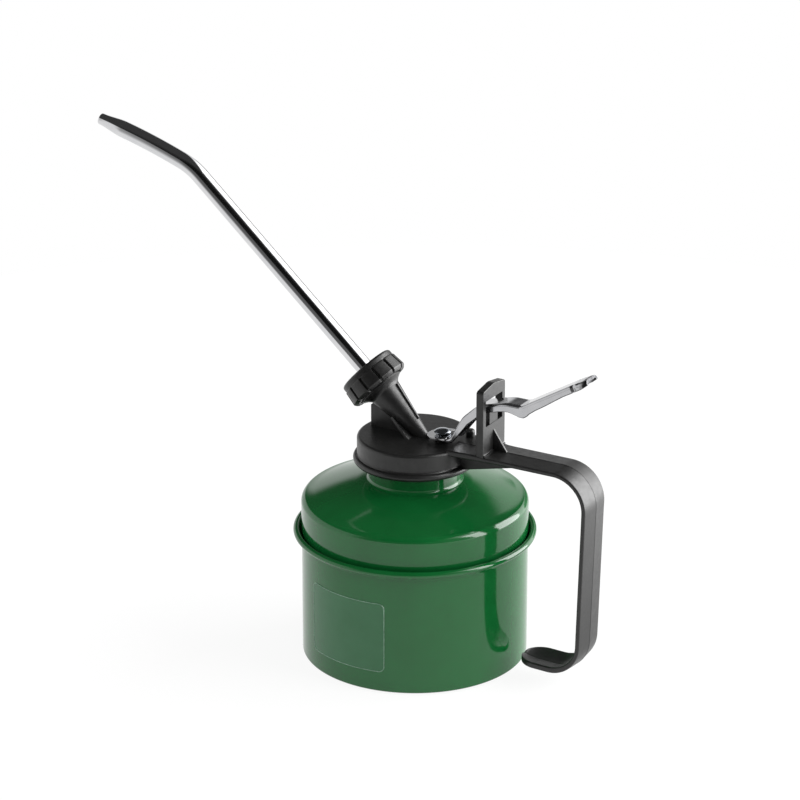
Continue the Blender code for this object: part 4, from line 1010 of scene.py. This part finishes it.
def strap_path():
    """Middle line (x, z) of the strap, with close points over its bends and its round end."""
    half = STRAP_T / 2
    top_z = STRAP_TOP_Z - half
    low_z = STRAP_BOTTOM_Z + half
    corners = (
        (STRAP_START_X, top_z, 0.0),
        (STRAP_BACK_X_HIGH - half, top_z, STRAP_TOP_BEND_R),
        (STRAP_BACK_X_LOW - half, low_z, STRAP_LOW_BEND_R),
        (SPOON_TIP_X, low_z + SPOON_RISE, 0.0),
    )
    path = resampled(rounded_path(corners, 28), 3.0)
    tip = path[-1]
    back = (path[-2] - tip).normalized()
    kept = [p for p in path if (p - tip).length > SPOON_HALF_W]
    ends = [SPOON_HALF_W * (1 - math.sin(math.radians(a))) for a in range(0, 90, 5)]
    return kept + [tip + back * left for left in ends] + [tip + back * 0.08, tip + back * 0.01]


def strap_half_width(along, total):
    """Half the strap's width, from its wide root to the round end of the spoon."""
    grip_start = STRAP_BACK_X_HIGH - STRAP_START_X + GRIP_PAST_BEND
    left = total - along
    if left < SPOON_HALF_W:
        reach = 1.0 - left / SPOON_HALF_W
        return max(SPOON_HALF_W * math.sqrt(max(1.0 - reach * reach, 0.0)), 0.6)
    table = ((0.0, STRAP_ROOT_HALF_W), (STRAP_TOP_FROM, STRAP_TOP_HALF_W),
             (grip_start - GRIP_TAPER, STRAP_TOP_HALF_W), (grip_start, STRAP_GRIP_HALF_W),
             (total - SPOON_TAPER, STRAP_GRIP_HALF_W), (total - 2 * SPOON_HALF_W, SPOON_HALF_W))
    return between(along, table)


def strap_section(half_w, left, spoon, roof):
    """Section (across, off the middle line) with round edges, parting line, low roof and dished spoon."""
    half_t = STRAP_T / 2
    if left < STRAP_EDGE_R:
        half_t *= math.sqrt(max(1.0 - (1.0 - left / STRAP_EDGE_R) ** 2, 0.02))
    e = min(STRAP_EDGE_R, half_w / 2, half_t * 0.9)
    flat = half_w - e
    line = PARTING_H * (1.0 - spoon)
    crown = SPOON_CROWN * spoon
    crest = half_t - PARTING_H
    outer = [(flat * k, 0.0) for k in (-0.8, -0.5, -0.2)]
    outer += [(-PARTING_W, 0.0), (-PARTING_W / 2, line), (PARTING_W / 2, line), (PARTING_W, 0.0)]
    outer += [(flat * k, 0.0) for k in (0.2, 0.5, 0.8)]
    outer = [(y, crest + n - crown * (y / flat) ** 2 - roof * abs(y / flat)) for y, n in outer]
    fade = min(1.0, half_w / SPOON_HALF_W)
    dish = []
    for k in (0.92, 0.8, 0.6, 0.4, 0.2, 0.05, 0.0, -0.05, -0.2, -0.4, -0.6, -0.8, -0.92):
        bowl = SPOON_DISH * (1.0 - k * k) * fade - SPOON_RIM_LIFT + (SPOON_LINE if k == 0.0 else 0.0)
        dish.append((flat * k, bowl * spoon - half_t))
    outer_edge = crest - crown - roof - e
    inner_edge = e - half_t - SPOON_RIM_LIFT * spoon
    right = arc((flat, outer_edge), e, 90, 0, 4) + arc((flat, inner_edge), e, 0, -90, 4)
    far = arc((-flat, inner_edge), e, 270, 180, 4) + arc((-flat, outer_edge), e, 180, 90, 4)
    return outer + right + dish + far


def strap_solid():
    """The strap as a skin through fine sections along its path."""
    path = strap_path()
    along = lengths(path)
    total = along[-1]
    rows = []
    for point, way, distance in zip(path, headings(path), along):
        left = total - distance
        spoon = 1.0 - ease(left, *SPOON_FADE)
        roof = STRAP_ROOF * (1.0 - spoon) * ease(distance, ROOF_START, ROOF_START + ROOF_RUN)
        section = strap_section(strap_half_width(distance, total), left, spoon, roof)
        rows.append(set_square(point, way, section))
    return surface("strap_handle", rows, NYLON)


def keel_solid():
    """Tapered gusset under the strap, from the cap's wall outward."""
    under = STRAP_TOP_Z - STRAP_T / 2
    outline = [(CAP_R - 1.5, under), (CAP_R - 1.5, KEEL_START_Z), (CAP_R + 1.0, KEEL_START_Z)]
    outline += [(KEEL_END_X, STRAP_TOP_Z - STRAP_T - 0.2), (KEEL_END_X, under)]
    return plate("strap_keel", outline, -KEEL_HALF_W, KEEL_HALF_W, "xz", 0.5, NYLON)


def boss_solid():
    """Small round-topped boss on the far side of the strap's root."""
    foot_z = STRAP_TOP_Z - STRAP_T / 2
    edge = (BOSS_R - BOSS_EDGE_R, BOSS_TOP_Z - BOSS_EDGE_R)
    profile = [(0.0, BOSS_TOP_Z)] + arc(edge, BOSS_EDGE_R, 90, 0, 6)
    profile += [(BOSS_R, foot_z), (0.0, foot_z)]
    return turned("root_boss", profile, 32, NYLON, BOSS_AXIS)


def spigot_solids():
    """Spigot under the cap that the pump barrel is pressed on, with the bridge of the oil passage."""
    top = CAP_TOP_Z - CAP_PLATE + OVERLAP
    spigot = turned("pump_spigot", stepped(top, (SPIGOT_R, SPIGOT_BOTTOM_Z)), SIDES_BORE, NYLON, PUMP_AXIS)
    outline = [(BRIDGE_X, top), (BRIDGE_X, BRIDGE_UNDER_Z), (PUMP_X, BRIDGE_UNDER_Z), (PUMP_X, top)]
    return [spigot, plate("oil_bridge", outline, -BRIDGE_HALF_W, BRIDGE_HALF_W, "xz", 0.2, NYLON)]


def bore_cutters():
    """Stepped bores for the rod's gland and for the spout."""
    pump = stepped(CAP_TOP_Z + 2.0, (GLAND_SEAT_R, GLAND_SEAT_Z), (SEAL_SEAT_R, SEAL_SEAT_Z),
                   (ROD_BORE_R, SPIGOT_BOTTOM_Z - OVERLAP))
    spout = stepped(SOCKET_FACE_S + OVERLAP, (SPOUT_R + CLEARANCE, SPOUT_START_S - CLEARANCE),
                    (VALVE_ROOM_R, VALVE_SEAT_S), (VALVE_THROAT_R, VALVE_SEAT_S - VALVE_THROAT),
                    (PASSAGE_R, PASSAGE_END_S))
    turn = Matrix.Rotation(math.pi / SIDES_BORE, 4, "Z")
    return [turned("pump_bore", pump, SIDES_BORE, STEEL, PUMP_AXIS @ turn),
            turned("spout_passage", spout, SIDES_BORE, STEEL, SPOUT_AXIS @ turn)]


def head_shell():
    """Cap, socket, fins, upright, strap and pump spigot in one moulding."""
    head = cap_solid()
    turn = 2 * math.pi * ((CAP_THREAD_Z - NECK_THREAD_Z) / CAP_PITCH - 0.5)
    cap_threads = helix(CAP_BORE_R, CAP_PITCH, 1.0, CAP_THREAD_Z, 64, turn)
    socket_threads = helix(SOCKET_THREAD_ROOT_R, NUT_PITCH, 1.0, NUT_THREAD_S, 48)
    added = [keel_solid(), strap_solid()] + post_solids() + [socket_solid()]
    added += [ridge("socket_thread", socket_threads, NUT_THREAD_R, NYLON, SPOUT_AXIS)]
    added += fin_solids() + spigot_solids()
    added += [ridge("cap_thread", cap_threads, THREAD_R, NYLON), boss_solid()]
    steps = [("UNION", tool) for tool in added]
    steps += [("DIFFERENCE", window_cutter()), ("UNION", tongue_solid())]
    steps += [("DIFFERENCE", cutter) for cutter in bore_cutters()]
    return combine(head, steps)


# The spout and its union

def spout_path():
    """Middle line (x, z) of the spout from inside the socket to its tip."""
    bend = math.radians(SPOUT_ANGLE - SPOUT_TIP_ANGLE)
    reach = SPOUT_BEND_R * math.tan(bend / 2)
    points = [Vector(on_spout(SPOUT_START_S)), Vector(on_spout(SPOUT_BEND_S - reach))]
    points = resampled(points, 4.0)
    angle = SPOUT_ANGLE
    tip_run = SPOUT_TIP_LENGTH - reach
    runs = [(SPOUT_BEND_R * bend, SPOUT_TIP_ANGLE, 16)]
    runs += [(tip_run - SPOUT_SWAGE_LENGTH, SPOUT_END_ANGLE, 10), (SPOUT_SWAGE_LENGTH, SPOUT_END_ANGLE, 14)]
    for length, end_angle, steps in runs:
        first = angle
        for i in range(steps):
            middle = math.radians(first + (end_angle - first) * (i + 0.5) / steps)
            ahead = Vector((-math.cos(middle), math.sin(middle))) * (length / steps)
            points.append(points[-1] + ahead)
        angle = end_angle
    return points


def spout_tube():
    """Bent spout with a drawn-down tip, an open bore and a rounded lip."""
    path = spout_path()
    along = lengths(path)
    ways = headings(path)
    swage = ((along[-1] - SPOUT_SWAGE_LENGTH, 0.0), (along[-1], 1.0))

    def ring(place, way, radius):
        section = [(radius * math.sin(a), -radius * math.cos(a)) for a in circle(SIDES_SPOUT)]
        return set_square(place, way, section)

    def reading(i, full, drawn):
        return full + (drawn - full) * ease(between(along[i], swage), 0.0, 1.0)

    count = len(path)
    rows = [ring(path[i], ways[i], reading(i, SPOUT_R, SPOUT_SWAGE_R)) for i in range(count - 1)]
    lip = (SPOUT_SWAGE_R - SPOUT_SWAGE_BORE_R) / 2
    middle_r = SPOUT_SWAGE_BORE_R + lip
    for k in range(9):
        angle = math.radians(90 - 180 * k / 8)
        place = path[-1] + ways[-1] * (lip * math.cos(angle) - lip)
        rows.append(ring(place, ways[-1], middle_r + lip * math.sin(angle)))
    for i in range(count - 2, -1, -1):
        rows.append(ring(path[i], ways[i], reading(i, SPOUT_BORE_R, SPOUT_SWAGE_BORE_R)))
    return surface("spout_bright", rows, CHROME, looped=True)


def groove_depth(angle_deg, s, radius):
    """How deep a grip groove is at a place round and along the nut."""
    pitch = 360.0 / NUT_GROOVES
    off = (angle_deg - NUT_GROOVE_TURN + pitch / 2) % pitch - pitch / 2
    across = abs(math.radians(off)) * radius
    side = 1.0 - ease(across, NUT_GROOVE_W / 2 - 0.15, NUT_GROOVE_W / 2 + 0.2)
    end_s = NUT_TOP_S - NUT_BAND
    return (NUT_GROOVE_DEPTH + NUT_PAD_OUT) * side * (1.0 - ease(s, end_s - 0.5, end_s + 0.1))


def nut_shell():
    """Union nut: twelve grip pads with chamfered feet below a smooth band, and an inner thread."""
    pitch = 360.0 / NUT_GROOVES
    offsets = [-pitch / 2] + [-a for a in reversed(NUT_GROOVE_ANGLES)] + [0.0, *NUT_GROOVE_ANGLES]
    angles = [NUT_GROOVE_TURN + pitch * i + off for i in range(NUT_GROOVES) for off in offsets]
    low, top = NUT_START_S, NUT_TOP_S
    band_s = top - NUT_BAND
    pad_low = NUT_R_LOW
    pad_top = NUT_R_TOP + NUT_PAD_OUT
    outer = [(pad_low - 1.6, low), (pad_low - 1.1, low + 0.1), (pad_low - 0.3, low + 0.9)]
    run = band_s - low - NUT_FOOT - 0.4
    for k in range(9):
        t = k / 8
        outer.append((pad_low + (pad_top - pad_low) * t, low + NUT_FOOT + run * t))
    outer += [(pad_top - 0.12, band_s - 0.12), (NUT_R_TOP, band_s + 0.12), (NUT_R_TOP, band_s + 0.6)]
    outer += arc((NUT_R_TOP - NUT_EDGE_R, top - NUT_EDGE_R), NUT_EDGE_R, 0, 90, 8)
    hole = SPOUT_R + CLEARANCE
    inner = [(hole + 0.2, top), (hole, top - 0.2), (hole, NUT_CEILING_S), (NUT_BORE_R, NUT_CEILING_S)]
    inner += [(NUT_BORE_R, low + 0.4), (NUT_BORE_R + 0.3, low)]
    rows = []
    for r, s in outer + inner:
        row = []
        for degrees in angles:
            depth = groove_depth(degrees, s, r) if r > NUT_BORE_R + 0.8 else 0.0
            row.append(polar(r - depth, math.radians(degrees), s))
        rows.append(row)
    nut = surface("nut_shell", rows, NYLON, SPOUT_AXIS, looped=True)
    points = helix(NUT_BORE_R, NUT_PITCH, 1.0, NUT_THREAD_S + NUT_PITCH / 2, 48)
    return combine(nut, [("UNION", ridge("nut_thread", points, NUT_THREAD_R, NYLON, SPOUT_AXIS))])


# The thumb lever

def pad_relief(left, y):
    """Height of the small raised studs on the thumb pad."""
    height = 0.0
    for place, offsets in STUD_ROWS:
        for offset in offsets:
            height += STUD_HEIGHT * math.exp(-((left - place) ** 2 + (y - offset) ** 2) / STUD_SPREAD)
    return height


def lever_section(half_w, corner_r, depth, left):
    """Thin channel section, as (across, off the top line), with studs where it is the pad."""
    t = LEVER_SHEET
    rim = LEVER_RIM_R
    flat = half_w - corner_r
    inner_r = max(corner_r - t, 0.1)
    outer = arc((-flat, -corner_r), corner_r, 180, 90, 10) + [(flat * k / 8, 0.0) for k in range(-7, 8)]
    outer += arc((flat, -corner_r), corner_r, 90, 0, 10)
    if left < PAD_LENGTH:
        outer = [(y, n + pad_relief(left, y)) for y, n in outer]
    inner = arc((flat, -corner_r), inner_r, 0, 90, 10) + arc((-flat, -corner_r), inner_r, 90, 180, 10)
    foot = [(half_w, rim - depth), (half_w - rim, -depth)]
    foot += [(half_w - t + rim, -depth), (half_w - t, rim - depth)]
    return outer + foot + inner + [(-y, n) for y, n in reversed(foot)]


def lever_solid():
    """The channel part of the lever, from the eye's bend to the thumb pad."""
    path = resampled(rounded_path(LEVER_CORNERS, 14), 1.0)
    tip = path[-1]
    pad = [p for p in path if (p - tip).length < PAD_LENGTH]
    path = path[:len(path) - len(pad)] + resampled(pad, 0.3)
    corner_table = tuple(zip(PAD_CORNER_XS, (LEVER_CORNER_R, PAD_CORNER_R)))
    rows = []
    for point, way in zip(path, headings(path)):
        corner_r = between(point.x, corner_table)
        half_w = between(point.x, LEVER_HALF_WIDTHS)
        left = (tip - point).length
        if left < TIP_ROUND:
            half_w = TIP_HALF_W + (half_w - TIP_HALF_W) * math.sqrt(left / TIP_ROUND)
        depth = max(between(point.x, FLANGE_DEPTHS), corner_r + LEAST_LIP)
        rows.append(set_square(point, way, lever_section(half_w, corner_r, depth, left)))
    return surface("lever_bright", rows, PLATED)


def eye_outline():
    """Plan of the flat eye: round about the rod, as wide as the channel at the bend."""
    start = math.degrees(math.asin(LEVER_HALF_W / EYE_R))
    ring = arc((PUMP_X, 0.0), EYE_R, start, 360.0 - start, 40)
    return ring + [(EYE_END_X, -LEVER_HALF_W), (EYE_END_X, LEVER_HALF_W)]


def thumb_lever():
    """Pressed channel lever with a pierced eye under the rod's rivet head."""
    lever = lever_solid()
    top = EYE_TOP_Z
    hinge = Vector((EYE_END_X, 0.0, top)) * MM
    tilt = Matrix.Rotation(-math.radians(EYE_TILT), 4, "Y")
    tilt = Matrix.Translation(hinge) @ tilt @ Matrix.Translation(-hinge)
    eye = plate("lever_eye", eye_outline(), top - LEVER_SHEET, top, "xy", 0.3, PLATED, tilt, sharp=50.0)
    cutter = turned("eye_hole", stepped(top + 2.0, (EYE_HOLE_R, top - 4.0)), SIDES_BORE, STEEL, PUMP_AXIS)
    return combine(lever, [("UNION", eye), ("DIFFERENCE", cutter)])


# The pump

def rod_bright():
    """Pump rod with its domed, riveted head on the lever's eye."""
    under = EYE_TOP_Z + CLEARANCE
    dome = RIVET_HEIGHT - RIVET_RIM
    profile = [(0.0, under + RIVET_HEIGHT)]
    for x, z in arc((0.0, 0.0), 1.0, 90, 0, 12)[1:]:
        profile.append((RIVET_R * x, under + RIVET_RIM + dome * z))
    stem_r = ROD_R + STEM_STEP
    thread_r = ROD_R - 0.3
    profile += [(RIVET_R - 0.15, under), (ROD_R, under), (ROD_R, FLANGE_Z + FLANGE_T)]
    profile += [(FLANGE_R, FLANGE_Z + FLANGE_T), (FLANGE_R, FLANGE_Z), (stem_r, FLANGE_Z)]
    profile += [(stem_r, WASHER_TOP_Z), (thread_r, WASHER_TOP_Z), (thread_r, ROD_END_Z + 0.3)]
    profile += [(thread_r - 0.3, ROD_END_Z), (0.0, ROD_END_Z)]
    return turned("rod_bright", profile, SIDES_BORE, RIVETED, PUMP_AXIS)


def spring_wound():
    """Return spring with a close turn at each end."""
    per_turn = 28
    points = []
    count = SPRING_TURNS * per_turn
    for i in range(count + 1):
        t = i / count
        angle = 2 * math.pi * SPRING_TURNS * t
        rise = ease(t, -0.02, 1.02)
        share = (1 - SPRING_EVEN) * rise + SPRING_EVEN * t
        height = SPRING_LOW_Z + (SPRING_HIGH_Z - SPRING_LOW_Z) * share
        points.append(Vector(polar(SPRING_COIL_R, angle, height)))
    return wire("spring_wound", points, [SPRING_WIRE_R] * len(points), 10, STEEL, PUMP_AXIS)


def dress():
    """Make every fine piece, give the other solids their finish, and tell the frame."""
    carried(cup_shell(), "reservoir", "green_enamel", "reservoir_cup")
    carried(dome_shell(), "reservoir", "green_enamel", "reservoir_dome")
    carried(label_film(), "reservoir", "green_enamel")
    carried(film_edge(), "reservoir", "green_enamel")
    carried(head_shell(), "head", "black_nylon", "head_moulding")
    carried(nut_shell(), "nut", "black_nylon", "spout_nut")
    carried(spout_tube(), "spout", "chrome", "spout_tube")
    carried(thumb_lever(), "lever", "chrome", "thumb_lever")
    carried(rod_bright(), "plunger", "steel", "plunger_rod")
    spring = carried(spring_wound(), "head", "steel", "return_spring")
    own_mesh(spring)
    for part in frame["record"]["subparts"]:
        materials = frame["nodes"][part["node"]].data.materials
        materials.clear()
        materials.append(FINISHES[part["material_slot"]])


# Floor, lights and camera

def light_path(tree):
    """1 for camera, glossy and transmission rays and 0 for the rest, then 1 for camera rays alone."""
    path = tree.nodes.new("ShaderNodeLightPath").outputs
    seen = node_math(tree, "MAXIMUM", path["Is Camera Ray"], path["Is Glossy Ray"])
    return node_math(tree, "MAXIMUM", seen, path["Is Transmission Ray"]), path["Is Camera Ray"]


def emptied(owner, output):
    """A material's or a world's node tree, left with a new output alone."""
    owner.use_nodes = True
    tree = owner.node_tree
    tree.nodes.clear()
    return tree, tree.nodes.new(output).inputs["Surface"]


def grey(tree, kind, level):
    """A shader node of one kind, with a plain grey."""
    node = tree.nodes.new(kind)
    node.inputs["Color"].default_value = (level, level, level, 1.0)
    return node


def joined(tree, kind, *inputs):
    """The sum of two shaders, or their mix by a factor."""
    node = tree.nodes.new(kind)
    for socket, value in zip(node.inputs, inputs):
        tree.links.new(value, socket)
    return node.outputs[0]


def floor():
    """Pale floor that shows white and keeps a faint shadow."""
    bpy.ops.mesh.primitive_circle_add(vertices=96, radius=FLOOR_R, fill_type="NGON",
                                      location=(0, 0, -FLOOR_DROP))
    obj = bpy.context.object
    obj.name = "floor"
    material = bpy.data.materials.new("floor_white")
    tree, out = emptied(material, "ShaderNodeOutputMaterial")
    right = facing(tree, tree.nodes.new("ShaderNodeTexCoord").outputs["Object"], STUDIO_RIGHT)
    glow = grey(tree, "ShaderNodeEmission", 1.0)
    tree.links.new(sweep(tree, right, FLOOR_GAIN_EDGE, FLOOR_GLOW, FLOOR_GAIN), glow.inputs["Strength"])
    matt = grey(tree, "ShaderNodeBsdfDiffuse", FLOOR_MATT)
    plain = grey(tree, "ShaderNodeBsdfDiffuse", FLOOR_PLAIN)
    both = joined(tree, "ShaderNodeAddShader", glow.outputs[0], matt.outputs[0])
    seen, _ = light_path(tree)
    tree.links.new(joined(tree, "ShaderNodeMixShader", seen, plain.outputs[0], both), out)
    obj.data.materials.append(material)


def studio_way(parts):
    """World direction from its parts to the studio's right, to its front and up."""
    right, front, up = parts
    return tuple(right * r + front * f + up * u for r, f, u in zip(STUDIO_RIGHT, STUDIO_FRONT, STUDIO_UP))


def studio_world():
    """White where the camera looks; for gloss, white walls whose height differs from side to side."""
    world = bpy.data.worlds.new("studio")
    bpy.context.scene.world = world
    tree, out = emptied(world, "ShaderNodeOutputWorld")
    direction = tree.nodes.new("ShaderNodeTexCoord").outputs["Generated"]
    right = facing(tree, direction, STUDIO_RIGHT)
    top = sweep(tree, right, RISE_TO_RIGHT, WALL_TOP_BACK, WALL_TOP_RIGHT)
    left_rise = sweep(tree, right, FALL_FROM_LEFT, WALL_TOP_LEFT - WALL_TOP_BACK, 0.0)
    top = node_math(tree, "ADD", top, left_rise)
    over = node_math(tree, "SUBTRACT", facing(tree, direction, STUDIO_UP), top)
    level = sweep(tree, over, (-WALL_SOFT, WALL_SOFT), 1.0, CEILING_LEVEL)
    changes = ((STUDIO_FRONT, ROOM_EDGE, ROOM_LEVEL), (STUDIO_RIGHT, RIGHT_GAIN_EDGE, RIGHT_GAIN),
               (studio_way(DARK_PANEL_WAY), DARK_PANEL_EDGE, DARK_PANEL_LEVEL))
    for way, edge, end_level in changes:
        change = sweep(tree, facing(tree, direction, way), edge, 1.0, end_level)
        level = node_math(tree, "MULTIPLY", level, change)
    room = grey(tree, "ShaderNodeBackground", 1.0)
    tree.links.new(level, room.inputs["Strength"])
    soft = grey(tree, "ShaderNodeBackground", SOFT_LEVEL)
    white = grey(tree, "ShaderNodeBackground", 1.0)
    seen, by_camera = light_path(tree)
    mirror = joined(tree, "ShaderNodeMixShader", seen, soft.outputs[0], room.outputs[0])
    tree.links.new(joined(tree, "ShaderNodeMixShader", by_camera, mirror, white.outputs[0]), out)


def aimed(name, data, place, target):
    """A light or camera in its place, looking at its target."""
    obj = bpy.data.objects.new(name, data)
    obj.location = place
    obj.rotation_euler = (Vector(target) - Vector(place)).to_track_quat("-Z", "Y").to_euler()
    bpy.context.scene.collection.objects.link(obj)
    return obj


def softbox(name, place, size, power):
    """A rectangular soft light that looks at the can."""
    data = bpy.data.lights.new(name, "AREA")
    data.shape = "RECTANGLE"
    data.size, data.size_y = size
    data.energy = power
    return aimed(name, data, place, LIGHT_TARGET)


def lights():
    """Strong low key from the right; a weaker fill from the front left that leaves no glint."""
    softbox("key_right", KEY_PLACE, KEY_SIZE, KEY_POWER)
    fill = softbox("fill_left", FILL_PLACE, FILL_SIZE, FILL_POWER)
    fill.visible_glossy = False


def camera():
    """The photograph's view."""
    data = bpy.data.cameras.new("photo_view")
    data.sensor_width = CAMERA_SENSOR
    data.lens = CAMERA_LENS
    data.clip_end = CAMERA_REACH
    bpy.context.scene.camera = aimed("photo_view", data, CAMERA_PLACE, CAMERA_TARGET)


def show():
    """Floor, world, lights, camera and the plain view transform."""
    floor()
    studio_world()
    lights()
    camera()
    bpy.context.scene.view_settings.view_transform = "Standard"


dress()
show()
